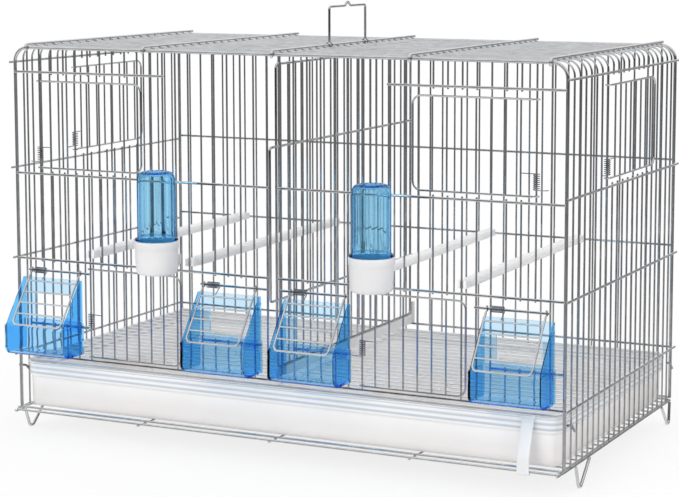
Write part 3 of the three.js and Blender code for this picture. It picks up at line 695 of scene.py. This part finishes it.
def latch():
    barrel_y = FRONT_Y - FRAME_WIRE - GAP - 1.5
    strap_y = FRONT_Y - TOE_REACH - RAIL - GAP - 0.8
    toe_low = BASE - RAIL - 2 * GAP - 0.8
    line = [
        (0, barrel_y, TRAY_TOP), (0, barrel_y - 0.6, TRAY_TOP - 6), (0, strap_y, BASE + TOE_REACH),
        (0, strap_y, toe_low), (0, FRONT_Y - TOE_REACH + RAIL, toe_low),
    ]
    path = rounded(line, 5, 8)
    length = [0]
    for a, b in zip(path, path[1:]):
        length.append(length[-1] + (b - a).length)
    form = Form()
    rings = []
    for k, p in enumerate(path):
        ahead = (path[min(k + 1, len(path) - 1)] - path[max(k - 1, 0)]).normalized()
        out = Vector((1, 0, 0)).cross(ahead)
        t = length[k] / length[-1]
        half = LATCH_HALF * (1 - LATCH_WAIST * math.sin(math.pi * min(1, t * 1.15)) ** 2)
        section = []
        for s in range(16):
            angle = 2 * math.pi * s / 16
            cx = math.copysign(abs(math.cos(angle)) ** 0.35, math.cos(angle)) * half
            cy = math.copysign(abs(math.sin(angle)) ** 0.6, math.sin(angle)) * LATCH_THICK
            section.append(p + Vector((LATCH_X + cx, 0, 0)) + out * cy)
        rings.append(form.ring(section))
    form.skin(rings)
    ends = [(LATCH_X + way * BARREL_HALF, barrel_y, TRAY_TOP) for way in (-1, 1)]
    form.tube(ends, BARREL_RADIUS, 16)
    piece("latch_strap", form, "tray_latch", LATCH, ("tray_latch",), sharp=60)


# Divider

STRIP_HALF = 2.5
STRIP_TALL = 9


def divider():
    top = FRAME_TOP - 9
    bottom = TRAY_RAIL + RAIL + GAP + STRIP_TALL + GAP + RAIL
    near, far = FRONT_Y + 4, BACK_Y - 4
    wires = Form()
    start = (0, 0, top)
    low_corners = [(0, far - RAIL, bottom), (0, near + RAIL, bottom)]
    loop = [start, (0, far - RAIL, top)] + low_corners + [(0, near + RAIL, top), start]
    wires.tube(rounded(loop, 4)[:-1], RAIL, closed=True)
    for j in range(1, SIDE_GAPS):
        x = 0 if welded(j) else -WELD_GAP
        wires.rod((x, side_y(j), bottom), (x, side_y(j), top), WIRE)
    # The wire that reaches out through the slot of the front panel as a pull
    x = WIRE + RAIL - WELD_SINK
    pull = FRONT_Y - 12 + RAIL
    high, low = FRAME_TOP - 85, TRAY_RAIL + 76
    path = [(x, far, high), (x, pull, high), (x, pull, low), (x, far, low)]
    wires.tube(rounded(path, 3, 6), RAIL)
    piece("divider_wires", wires, "divider", ZINC, ("divider_panel",))
    low = TRAY_RAIL + RAIL + GAP
    near, far = FRONT_Y - RAIL, BACK_Y + WIRE + RAIL
    heel, heel_top = far - 5, low + 23
    profile = [
        (near, low), (far, low), (far, heel_top), (heel, heel_top), (heel, low + STRIP_TALL),
        (near, low + STRIP_TALL),
    ]
    strip = prism(profile, -STRIP_HALF, STRIP_HALF)
    piece("divider_foot", strip, "divider", WHITE, ("divider_strip",), bevel=0.8)


# Doors and springs

SPRING_RADIUS = 2.7
SPRING_WIRE = 0.45
SPRING_TURNS = 8
SPRING_STEPS = 12
DOOR_SPRING_TALL = 14.4
DOOR_LOOP_WIRE = 0.95
DOOR_BAR_WIRE = 0.85
EYE_WIRE = 0.75
EYE_RADIUS = 2.2


def placed(hinge, turn):
    """Local door coordinates (along the door, into the cage, up) to the cage."""
    return Matrix.Translation((hinge[0], hinge[1], 0)) @ Matrix.Rotation(turn, 4, "Z")


def spring_form(low, high, way, arm):
    """A coil round the upright local axis, wound in the direction way, with an arm at its top."""
    count = SPRING_TURNS * SPRING_STEPS
    path = []
    for k in range(count + 1):
        t = -math.pi / 2 + way * 2 * math.pi * SPRING_TURNS * k / count
        z = low + (high - low) * k / count
        path.append((SPRING_RADIUS * math.cos(t), SPRING_RADIUS * math.sin(t), z))
    path.append((arm, -SPRING_RADIUS, high))
    return Form().tube(path, SPRING_WIRE, 8)


def door(name, hinge, turn, way, reach, low, high, pitch, bars, spring_z):
    """A door that reaches from its hinge in the direction way, between low and high."""
    place = placed(hinge, turn)
    face = -WIRE - GAP - WIRE
    near, far = way * 2.4, way * (reach - RAIL)
    z0, z1 = low + RAIL, high - RAIL
    wires = Form()
    loop = [(near, face, z0), (far, face, z0), (far, face, z1), (near, face, z1)]
    wires.tube(rounded(loop, 8, 6), DOOR_LOOP_WIRE)
    for z in (z0, z1):
        eye = [(-way * EYE_RADIUS * math.cos(t), EYE_RADIUS * math.sin(t), z) for t in arc(-90, 300, 14)]
        wires.tube(eye, EYE_WIRE, 8)
    for k in range(1, bars):
        wires.rod((way * k * pitch, face, z0), (way * k * pitch, face, z1), DOOR_BAR_WIRE)
    piece(name + "_wires", wires.moved(place), name, ZINC, (name,))
    spring = spring_form(spring_z, spring_z + DOOR_SPRING_TALL, way, way * (pitch - WIRE - GAP))
    piece(name + "_coil", spring.moved(place), name, SPRING, (name + "_spring",))
    line = [(0, -SPRING_RADIUS, spring_z), (-way * 9, -2.2, spring_z), (-way * 11, 0.6, spring_z)]
    stop = Form().tube(line, SPRING_WIRE, 8)
    piece(name + "_spring_stop", stop.moved(place), "cage", SPRING)


def doors():
    upper = dict(
        reach=(UPPER_FREE - UPPER_HINGE) * WIRE_PITCH, low=FRAME_TOP - 118, high=FRAME_TOP - 31,
        pitch=WIRE_PITCH, bars=UPPER_LAST - UPPER_HINGE, spring_z=FRAME_TOP - 111,
    )
    x = front_x(UPPER_HINGE)
    door("upper_door_left", (x, FRONT_Y), 0, 1, **upper)
    door("upper_door_right", (-x, FRONT_Y), 0, -1, **upper)
    lower = dict(
        reach=(LOWER_FREE - LOWER_HINGE) * WIRE_PITCH, low=TRAY_RAIL + RAIL + 1.8, high=FEEDER_RAIL - 5,
        pitch=WIRE_PITCH, bars=LOWER_LAST - LOWER_HINGE, spring_z=TRAY_RAIL + 32,
    )
    door("lower_door_left", (front_x(LOWER_HINGE), FRONT_Y), 0, 1, **lower)
    door("lower_door_right", (front_x(RIGHT_LOWER_HINGE), FRONT_Y), 0, 1, **lower)
    side = dict(
        reach=(SIDE_FREE - SIDE_HINGE) * SIDE_PITCH, low=FRAME_TOP - 111.5, high=FRAME_TOP - 24.4,
        pitch=SIDE_PITCH, bars=SIDE_FREE - SIDE_HINGE, spring_z=FRAME_TOP - 107,
    )
    x = HOOD_FACE - WELD_GAP * (not welded(SIDE_HINGE)) - WIRE
    door("side_door_right", (x, side_y(SIDE_HINGE)), math.pi / 2, 1, **side)
    door("side_door_left", (-x, side_y(SIDE_HINGE)), -math.pi / 2, -1, **side)


# Feeders and flaps, in millimetres from the middle of the pivot bar

PIVOT_Y = FRONT_Y - WIRE - RAIL
SLOPE = math.radians(54)
FEEDER_HALF = 34
FEEDER_FRONT = -35.1
FEEDER_BACK = RAIL - GAP
FEEDER_LOW = -79.5
FEEDER_TOP = -7
FEEDER_BEND = 9
FEEDER_STEPS = 6
ABOVE_FEEDER = 30
FLAP_HALF = 29
FLAP_LENGTH = 60
FLAP_WIRE = 1
FLAP_CLEAR = FLAP_WIRE + GAP
FLAP_BARS = 4
FLAP_EYE = 2.3
FLAP_SPRING_LONG = 12


def slope_z(y):
    """The height of the tub's slanted edge, which the flap lies on."""
    return -(FLAP_CLEAR - y * math.sin(SLOPE)) / math.cos(SLOPE)


def blank(name, form, bevel=0, where=None):
    """A hidden mesh object in the cage's millimetres, for cutting and joining."""
    mesh = bpy.data.meshes.new(name)
    mesh.from_pydata(form.points, [], form.faces)
    finish_faces(mesh, bevel, where)
    return linked(name, mesh)


def cut(target, *others, how="DIFFERENCE"):
    """The target's mesh after each other object is cut out of it or joined to it; the others are dropped."""
    for other in others:
        m = target.modifiers.new("cut", "BOOLEAN")
        m.operation = how
        m.solver = "EXACT"
        m.object = other
        bpy.context.view_layer.update()
        graph = bpy.context.evaluated_depsgraph_get()
        mesh = bpy.data.meshes.new_from_object(target.evaluated_get(graph))
        target.modifiers.clear()
        target.data = mesh
        bpy.data.objects.remove(other)
    return target


def as_form(obj):
    """The object's mesh as a form; the object is dropped."""
    form = Form()
    form.points = [v.co.copy() for v in obj.data.vertices]
    form.faces = [tuple(p.vertices) for p in obj.data.polygons]
    bpy.data.objects.remove(obj)
    return form


def front_upright(edge):
    """Whether this is an upright edge at the tub's front, which is moulded round."""
    a, b = (v.co for v in edge.verts)
    return abs(a.z - b.z) > 5 and abs(a.y - b.y) < 0.01 and abs(a.x - b.x) < 0.01 and a.y < -20


def feeder_bend(radius):
    """The arc from the tub's front down into its floor."""
    out = []
    for k in range(FEEDER_STEPS + 1):
        t = math.pi * (1 + 0.5 * k / FEEDER_STEPS)
        y = FEEDER_FRONT + FEEDER_BEND + radius * math.cos(t)
        z = FEEDER_LOW + FEEDER_BEND + radius * math.sin(t)
        out.append((y, z))
    return out


def rectangle(y0, z0, y1, z1):
    return [(y0, z0), (y1, z0), (y1, z1), (y0, z1)]


def feeder_form():
    rim = slope_z(FEEDER_FRONT)
    bend = (FEEDER_TOP * math.cos(SLOPE) + FLAP_CLEAR) / math.sin(SLOPE)
    outer = [(FEEDER_BACK, FEEDER_LOW), (FEEDER_BACK, FEEDER_TOP), (bend, FEEDER_TOP), (FEEDER_FRONT, rim)]
    outer += feeder_bend(FEEDER_BEND)
    w = FEEDER_WALL
    back, front = FEEDER_BACK - w, FEEDER_FRONT + w
    inner = [(back, FEEDER_LOW + w), (back, ABOVE_FEEDER), (front, ABOVE_FEEDER)]
    inner += feeder_bend(FEEDER_BEND - w)
    body = blank("feeder_body", prism(outer, -FEEDER_HALF, FEEDER_HALF), 4.5, front_upright)
    hollow = blank("feeder_hollow", prism(inner, w - FEEDER_HALF, FEEDER_HALF - w), 3.2, front_upright)
    # The cheeks above the rim stand a little in from the tub's sides
    above = rectangle(FEEDER_BACK + 5, ABOVE_FEEDER, FEEDER_FRONT - 5, rim + 1.2)
    left = blank("feeder_step_left", prism(above, -FEEDER_HALF - 5, -FEEDER_HALF + 1))
    right = blank("feeder_step_right", prism(above, FEEDER_HALF - 1, FEEDER_HALF + 5))
    opening = rectangle(FEEDER_BACK - 9, -46, FEEDER_BACK + 9, -23)
    half = FEEDER_HALF - 12.5
    window = blank("feeder_window", prism(opening, -half, half))
    cut(body, left, right, hollow, window)
    # Lugs under the flap's corners
    out, into = FEEDER_FRONT - 0.6, FEEDER_FRONT + 1.2
    lug = [(out, rim - 1.8), (out, rim - 6.5), (into, rim - 8.5), (into, rim - 1.8)]
    for way in (-1, 1):
        ends = sorted((way * (FEEDER_HALF - 1), way * (FEEDER_HALF - 8)))
        cut(body, blank("feeder_lug", prism(lug, *ends)), how="UNION")
    # The ledge under the window, where the back wall is thick
    ledge = rectangle(back - 4, -57.5, back + 0.5, -48)
    cut(body, blank("feeder_ledge", prism(ledge, 1 - FEEDER_HALF, FEEDER_HALF - 1)), how="UNION")
    return as_form(body)


def flap(index, centre):
    at = (front_x(centre), PIVOT_Y, PIVOT)
    tilt = Matrix.Translation(at) @ Matrix.Rotation(SLOPE, 4, "X")
    side = FLAP_HALF - 1
    wires = Form()
    loop = [(-side, -3.2, 0), (-side, -FLAP_LENGTH, 0), (side, -FLAP_LENGTH, 0), (side, -3.2, 0)]
    wires.tube(rounded(loop, 5, 6), FLAP_WIRE)
    first = 12
    step = (FLAP_LENGTH - first) / FLAP_BARS
    for k in range(FLAP_BARS):
        y = -(first + k * step)
        wires.rod((-side, y, 0), (side, y, 0), FINE_WIRE)
    for way in (-1, 1):
        eye = [(way * side, FLAP_EYE * math.sin(t), FLAP_EYE * math.cos(t)) for t in arc(-90, -250, 12)]
        wires.tube(eye, EYE_WIRE, 8)
    name = f"feeder_flap_{index}"
    piece(name + "_wires", wires.moved(tilt), name, ZINC_FRAME, (name,))
    turn = Matrix.Rotation(math.pi / 2, 4, "Z") @ Matrix.Rotation(math.pi / 2, 4, "X")
    turn = turn @ Matrix.Rotation(math.pi / 2 - SLOPE, 4, "Z")
    spring = spring_form(0, FLAP_SPRING_LONG, -1, -10)
    spring.moved(Matrix.Translation((at[0] - FLAP_HALF + 5, at[1], at[2])) @ turn)
    piece(f"flap_coil_{index}", spring, name, SPRING, (f"flap_spring_{index}",))


def feeders():
    shell = feeder_form()
    for k, f in enumerate(FEEDERS, 1):
        form = Form().add(shell)
        form.moved(Matrix.Translation((front_x(f["centre"]), PIVOT_Y, PIVOT)))
        piece(f"feeder_tub_{k}", form, f"feeder_{k}", BLUE, (f"feeder_{k}",), bevel=0.35)
        flap(k, f["flap"])


# Drinkers

DRINKER_WIRES = (12.5, 28.5)
CUP_RADIUS = 21
CUP_FOOT = 19.5
CUP_TALL = 32
CUP_LOW = FEEDER_RAIL + RAIL - 1.5 - GAP
CUP_RIM = CUP_LOW + CUP_TALL
DRINKER_Y = FRONT_Y - WIRE - 2 * RAIL - GAP - CUP_RADIUS
TUBE_TALL = 65
FLUTES = 20
CUP_STEPS = 64


def turned_ring(form, r, z, steps, flute=0):
    """A ring round the z axis; its flutes are cut in to the depth flute."""
    row = []
    for k in range(steps):
        t = 2 * math.pi * k / steps
        share = 1 - flute / max(r, 1) * (1 - abs(math.cos(FLUTES * t / 2)))
        row.append((r * share * math.cos(t), r * share * math.sin(t), z))
    return form.ring(row)


def channel(rows, top, side, floor, chamfer):
    """A gutter: rows of (y, half width, lift), with sides down to side, then chamfered to its floor."""
    form = Form()
    rings = []
    for y, half, lift in rows:
        left = [(-half, y, top), (-half, y, side + lift), (chamfer - half, y, floor + lift)]
        right = [(half - chamfer, y, floor + lift), (half, y, side + lift), (half, y, top)]
        rings.append(form.ring(left + right))
    return form.skin(rings)


def cup_form():
    z0, z1 = CUP_LOW, CUP_RIM
    foot = CUP_FOOT
    # The (radius, height) profile from the middle of the underside round to the middle of the inside
    profile = [
        (2, z0 + 1.2), (foot - 8, z0 + 1.2), (foot - 6.5, z0 + 0.2), (foot - 5, z0), (foot - 2.5, z0 + 0.4),
        (foot - 0.8, z0 + 1.6), (foot - 0.1, z0 + 3.6), (foot + 0.35, z0 + 10), (foot + 0.9, z0 + 22),
        (foot + 1.0, z0 + 24.6), (CUP_RADIUS, z0 + 25.4), (CUP_RADIUS, z1 - 0.7), (CUP_RADIUS - 0.5, z1),
        (CUP_RADIUS - 1.5, z1), (CUP_RADIUS - 1.9, z1 - 0.8), (foot - 1.6, z0 + 8), (foot - 2.4, z0 + 4),
        (foot - 5, z0 + 2.4), (2, z0 + 2.2),
    ]
    form = Form()
    cup = blank("cup_body", form.skin([turned_ring(form, r, z, CUP_STEPS) for r, z in profile]))
    low = FEEDER_RAIL + RAIL + GAP
    end = FRONT_Y + WIRE + 12 - DRINKER_Y
    start = foot - 1.6
    spout_rows = [(start, 4.2, 0), (end - 3, 5, 0), (end - 1, 4.6, 0.8), (end, 3.6, 0.8)]
    trough_rows = [(start - 6, 2.6, 0), (end - 3, 3.4, 0), (end - 1.5, 2.8, 0)]
    spout = channel(spout_rows, low + 12, low + 3, low, 2.2)
    trough = channel(trough_rows, low + 14, low + 3.6, low + 1.6, 1.2)
    cut(cup, blank("cup_spout", spout), how="UNION")
    cut(cup, blank("cup_trough", trough))
    return as_form(cup)


def tube_form():
    low = CUP_RIM + GAP - 14
    rim = CUP_RIM + GAP
    top = rim + TUBE_TALL
    body = 17.95
    # Profiles of radius, height and depth of the flutes
    outside = [
        (16.8, low, 0), (17.4, low, 0), (17.6, low + 0.8, 0), (17.7, rim - 0.6, 0), (20.2, rim, 0),
        (20.6, rim + 0.3, 0), (20.7, rim + 1, 0), (20.4, rim + 1.6, 0), (18.6, rim + 2.4, 0),
        (17.9, rim + 3.2, 0), (body, rim + 4.2, 0),
    ]
    outside += [(body, rim + 5 + (TUBE_TALL - 13) * k / 8, 0.9 if k else 0.5) for k in range(9)]
    outside += [
        (17.8, top - 6.5, 0.9), (17.4, top - 4.6, 1.0), (16.6, top - 2.8, 1.2), (15.2, top - 1.3, 1.3),
        (13.2, top - 0.4, 1.2), (11, top, 0.9), (9, top - 0.5, 0.4), (7.4, top - 1.6, 0),
        (5.5, top - 2.2, 0), (2, top - 2.4, 0),
    ]
    inside = [
        (2, top - 3.8, 0), (6, top - 3.7, 0), (9, top - 3, 0), (12, top - 2.6, 0), (14, top - 3.6, 0),
        (15.4, top - 5.5, 0), (16.0, top - 8, 0), (16.1, rim + 4, 0), (15.9, low, 0),
    ]
    form = Form()
    steps = FLUTES * 6
    outer = [turned_ring(form, r, z, steps, flute) for r, z, flute in outside]
    inner = [turned_ring(form, r, z, steps, flute) for r, z, flute in inside]
    form.bridges(outer)
    form.bridges(inner)
    form.faces.append(tuple(outer[-1]))
    form.faces.append(tuple(reversed(inner[0])))
    form.bridge(inner[-1], outer[0])
    return form


def drinkers():
    cup = cup_form()
    tube = tube_form()
    for k, i in enumerate(DRINKER_WIRES, 1):
        at = Matrix.Translation((front_x(i), DRINKER_Y, 0))
        cup_at, tube_at = (Form().add(form).moved(at) for form in (cup, tube))
        piece(f"cup_{k}", cup_at, "cage", WHITE, (f"drinker_cup_{k}",), sharp=40)
        name = f"drinker_tube_{k}"
        piece(f"tube_{k}", tube_at, name, BLUE_TUBE, (name,), sharp=60)


# Perches, handle and feet

PERCH_WIRES = (6, 14, 27, 34)
PERCH_Z = FEEDER_RAIL + 8
PERCH_RADIUS = 5
PERCH_RIDGES = 12
RIDGE_DEPTH = 0.28
PERCH_SIDES = 48
PERCH_STEPS = 40
CLIP_HALF = 3.5


def perch_form():
    """A ridged rod along the depth, with a slotted clip at each end."""
    form = Form()
    end = DEPTH / 2 - WIRE - GAP - 6.2
    rings = []
    for k in range(PERCH_STEPS + 1):
        y = -end + 2 * end * k / PERCH_STEPS
        edge = min(1, (end - abs(y)) / 2.5 + 0.72)
        row = []
        for s in range(PERCH_SIDES):
            t = 2 * math.pi * s / PERCH_SIDES
            r = (PERCH_RADIUS - RIDGE_DEPTH * (1 - abs(math.cos(PERCH_RIDGES / 2 * t)))) * edge
            row.append((r * math.cos(t), y, r * math.sin(t)))
        rings.append(form.ring(row))
    rod = blank("perch_rod", form.skin(rings))
    for way in (-1, 1):
        near, far = way * (DEPTH / 2 - 9), way * (DEPTH / 2 + 0.6)
        slot = way * (DEPTH / 2 - 1.6)
        left = [(-4.5, near), (-4.5, far), (-1.6, far), (-1.2, slot)]
        profile = left + [(-x, y) for x, y in reversed(left)]
        clip = Form()
        clip.skin([clip.ring((x, y, z) for x, y in profile) for z in (-CLIP_HALF, CLIP_HALF)])
        cut(rod, blank("perch_clip", clip), how="UNION")
    return as_form(rod)


def perches():
    form = perch_form()
    for k, i in enumerate(PERCH_WIRES, 1):
        rod = Form().add(form).moved(Matrix.Translation((front_x(i), 0, PERCH_Z)))
        piece(f"perch_rod_{k}", rod, "cage", ROD_PAINTED_LIT, (f"perch_{k}",), sharp=40, bevel=0.4)


HANDLE_WIRE = 1.2
HANDLE_TALL = 41
HANDLE_EYE = 3.1


def carry_handle():
    near, far = side_y(7.8), side_y(13.2)
    middle = (near + far) / 2
    centre = ROOF_FACE + ROOF_BAR - WELD_SINK
    top = centre + HANDLE_TALL
    shoulder = top - 4
    wires = Form()
    line = [
        (0, near, centre + 3), (0, near, shoulder), (0, middle - 6, shoulder), (0, middle - 1.5, top - 0.4),
        (0, middle + 1.5, top - 0.4), (0, middle + 6, shoulder), (0, far, shoulder), (0, far, centre + 3),
    ]
    wires.tube(rounded(line, 2.6), HANDLE_WIRE, 12)
    for y in (near, far):
        eye = [(HANDLE_EYE * math.sin(t), y, centre + HANDLE_EYE * math.cos(t)) for t in arc(18, 324, 20)]
        wires.tube(eye, 1)
    piece("handle_bail", wires, "carry_handle", ZINC, ("carry_handle",))


FOOT_WIRE = 1.45
FOOT_TOE = 3
# A foot's name, side and end, how far in from that end it starts, and how far on it stands and ends
FEET = [
    ("foot_front_left", -1, -1, 5.5, 11.5, 37),
    ("foot_front_right", 1, -1, 27.5, 11.5, 37),
    ("foot_back_left", -1, 1, 3, 5, 27),
    ("foot_back_right", 1, 1, 3, 5, 27),
]


def foot(name, side, end, inset, lean, spread):
    top = BASE - RAIL
    x = side * (HOOD_FACE - WIRE)
    line = [(0, top), (lean - FOOT_TOE, FOOT_WIRE), (lean + FOOT_TOE, FOOT_WIRE), (spread, top)]
    path = [(x, end * (DEPTH / 2 - inset - distance), z) for distance, z in line]
    wires = Form().tube(rounded(path, 5, 6), FOOT_WIRE, 12)
    piece(name + "_loop", wires, "cage", ZINC_FRAME, (name,))


def corner_hooks():
    """Short hooks at the tray's corners, outside the hood's wires."""
    wires = Form()
    for side in (-1, 1):
        x = side * (HOOD_FACE + 0.75)
        for y in (FRONT_Y + 1, BACK_Y - 20):
            path = [(x, y, 66), (x, y + 11, 63.5), (x, y + 18.5, 56.5)]
            wires.tube(rounded(path, 8, 5), RAIL)
    piece("corner_hooks", wires, "cage", SPRING)


front_panel()
back_panel()
hood()
base_grille()
floor_grille()
tray()
latch()
divider()
doors()
feeders()
drinkers()
perches()
carry_handle()
for spec in FEET:
    foot(*spec)
corner_hooks()


# Floor, light and camera

PURE_WHITE = (1, 1, 1, 1)
# What metal mirrors: a dark front, dim sides and a white back, between a white sky and a white floor
DARK_YAW = math.radians(25)
DARK_SHINE = 0.05
SIDE_SHINE = 0.55
# The share of the floor's look that is plain white, so that only a faint shadow stays
FLOOR_WHITE = 0.8


def rays(tree, *kinds):
    """1 for each kind of ray that this is, otherwise 0."""
    path = tree.nodes.new("ShaderNodeLightPath")
    return [path.outputs[f"Is {kind} Ray"] for kind in kinds]


def seen_directly(tree):
    """1 for what the camera sees, also by way of metal or clear plastic."""
    camera_ray, glossy, through = rays(tree, "Camera", "Glossy", "Transmission")
    return math_node(tree, "MAXIMUM", math_node(tree, "MAXIMUM", camera_ray, glossy), through)


def mirrored_only(tree):
    """1 for what metal mirrors, and 0 for what is seen through clear plastic."""
    glossy, through = rays(tree, "Glossy", "Transmission")
    return math_node(tree, "SUBTRACT", glossy, through, clamp=True)


def blended_shader(tree, factor, a, b, out):
    """Sends the blend of the shaders a and b to out."""
    mix = tree.nodes.new("ShaderNodeMixShader")
    tree.links.new(factor, mix.inputs[0])
    tree.links.new(a.outputs[0], mix.inputs[1])
    tree.links.new(b.outputs[0], mix.inputs[2])
    tree.links.new(mix.outputs[0], out.inputs[0])


def white_floor():
    mesh = bpy.data.meshes.new("floor")
    reach = 12
    corners = [(-reach, -reach, 0), (reach, -reach, 0), (reach, reach, 0), (-reach, reach, 0)]
    mesh.from_pydata(corners, [], [(0, 1, 2, 3)])
    floor = linked("floor", mesh)
    m, tree, shader = nodes_of("floor")
    feed(tree, shader, {"Base Color": (0.93, 0.93, 0.93, 1), "Roughness": 0.9, "Specular IOR Level": 0.1})
    white = tree.nodes.new("ShaderNodeEmission")
    angle = tree.nodes.new("ShaderNodeLayerWeight")
    angle.inputs["Blend"].default_value = 0.5
    dark = ranged(tree, angle.outputs["Facing"], 0, 1 - DARK_SHINE, 0.6, 0.85)
    shine = math_node(tree, "SUBTRACT", 1, math_node(tree, "MULTIPLY", mirrored_only(tree), dark))
    tree.links.new(shine, white.inputs["Strength"])
    share = math_node(tree, "MULTIPLY", seen_directly(tree), FLOOR_WHITE)
    blended_shader(tree, share, shader, white, node_of(tree, "OUTPUT_MATERIAL"))
    mesh.materials.append(m)


def world():
    """White all round; only what metal mirrors has a dark horizon, as in a studio between white boards."""
    w = bpy.data.worlds.new("studio")
    bpy.context.scene.world = w
    w.use_nodes = True
    tree = w.node_tree
    tree.nodes.clear()
    out = tree.nodes.new("ShaderNodeOutputWorld")
    light = tree.nodes.new("ShaderNodeBackground")
    feed(tree, light, {"Color": PURE_WHITE, "Strength": 0.5})
    seen = tree.nodes.new("ShaderNodeBackground")
    coords = tree.nodes.new("ShaderNodeTexCoord")
    along = tree.nodes.new("ShaderNodeVectorMath")
    along.operation = "DOT_PRODUCT"
    along.inputs[1].default_value = (math.sin(DARK_YAW), -math.cos(DARK_YAW), 0)
    tree.links.new(coords.outputs["Generated"], along.inputs[0])
    square = math_node(tree, "MULTIPLY", along.outputs["Value"], along.outputs["Value"])
    sides = ranged(tree, square, SIDE_SHINE, 0, 0, 0.14)
    back = ranged(tree, along.outputs["Value"], 1, 0, -0.85, -0.65)
    edges = math_node(tree, "MAXIMUM", sides, back)
    rise = math_node(tree, "ABSOLUTE", along_axis(tree, "Generated", "Z"), 0)
    shine = math_node(tree, "MAXIMUM", ranged(tree, rise, DARK_SHINE, 1, 0.16, 0.42), edges)
    feed(tree, seen, {"Color": mixed(tree, mirrored_only(tree), PURE_WHITE, shine), "Strength": 1})
    blended_shader(tree, seen_directly(tree), light, seen, out)


def sun(name, place, spread, power):
    """A far soft light that shines from place towards the cage, and that metal doesn't mirror."""
    data = bpy.data.lights.new(name, "SUN")
    data.angle = math.radians(spread)
    data.energy = power
    obj = linked(name, data)
    obj.location = place
    obj.rotation_euler = (-Vector(place)).to_track_quat("-Z", "Y").to_euler()
    obj.visible_glossy = False


# The photograph's uprights are parallel, which a little lens shift and a small tilt come close to
PHOTO_WIDTH = 679
SENSOR = 36
CAMERA_PLACE = (874.5, -1761.4, 487.8)
CAMERA_YAW = math.radians(25.662)
CAMERA_TILT = math.radians(6.526)
FOCAL_PIXELS = 1994.27
LENS_SHIFT = (-0.05, -0.12)


def camera():
    data = bpy.data.cameras.new("camera")
    data.sensor_fit = "HORIZONTAL"
    data.sensor_width = SENSOR
    data.lens = SENSOR * FOCAL_PIXELS / PHOTO_WIDTH
    data.shift_x, data.shift_y = LENS_SHIFT
    obj = linked("camera", data)
    obj.location = part_point(CAMERA_PLACE)
    obj.rotation_euler = (math.pi / 2 - CAMERA_TILT, 0, CAMERA_YAW)
    bpy.context.scene.camera = obj


white_floor()
world()
sun("key", (-0.35, -1, 0.6), 45, 1.05)
sun("fill", (1, -0.35, 0.6), 60, 0.8)
sun("top", (0.1, 0.3, 1), 90, 1.0)
camera()
bpy.context.scene.view_settings.view_transform = "Standard"
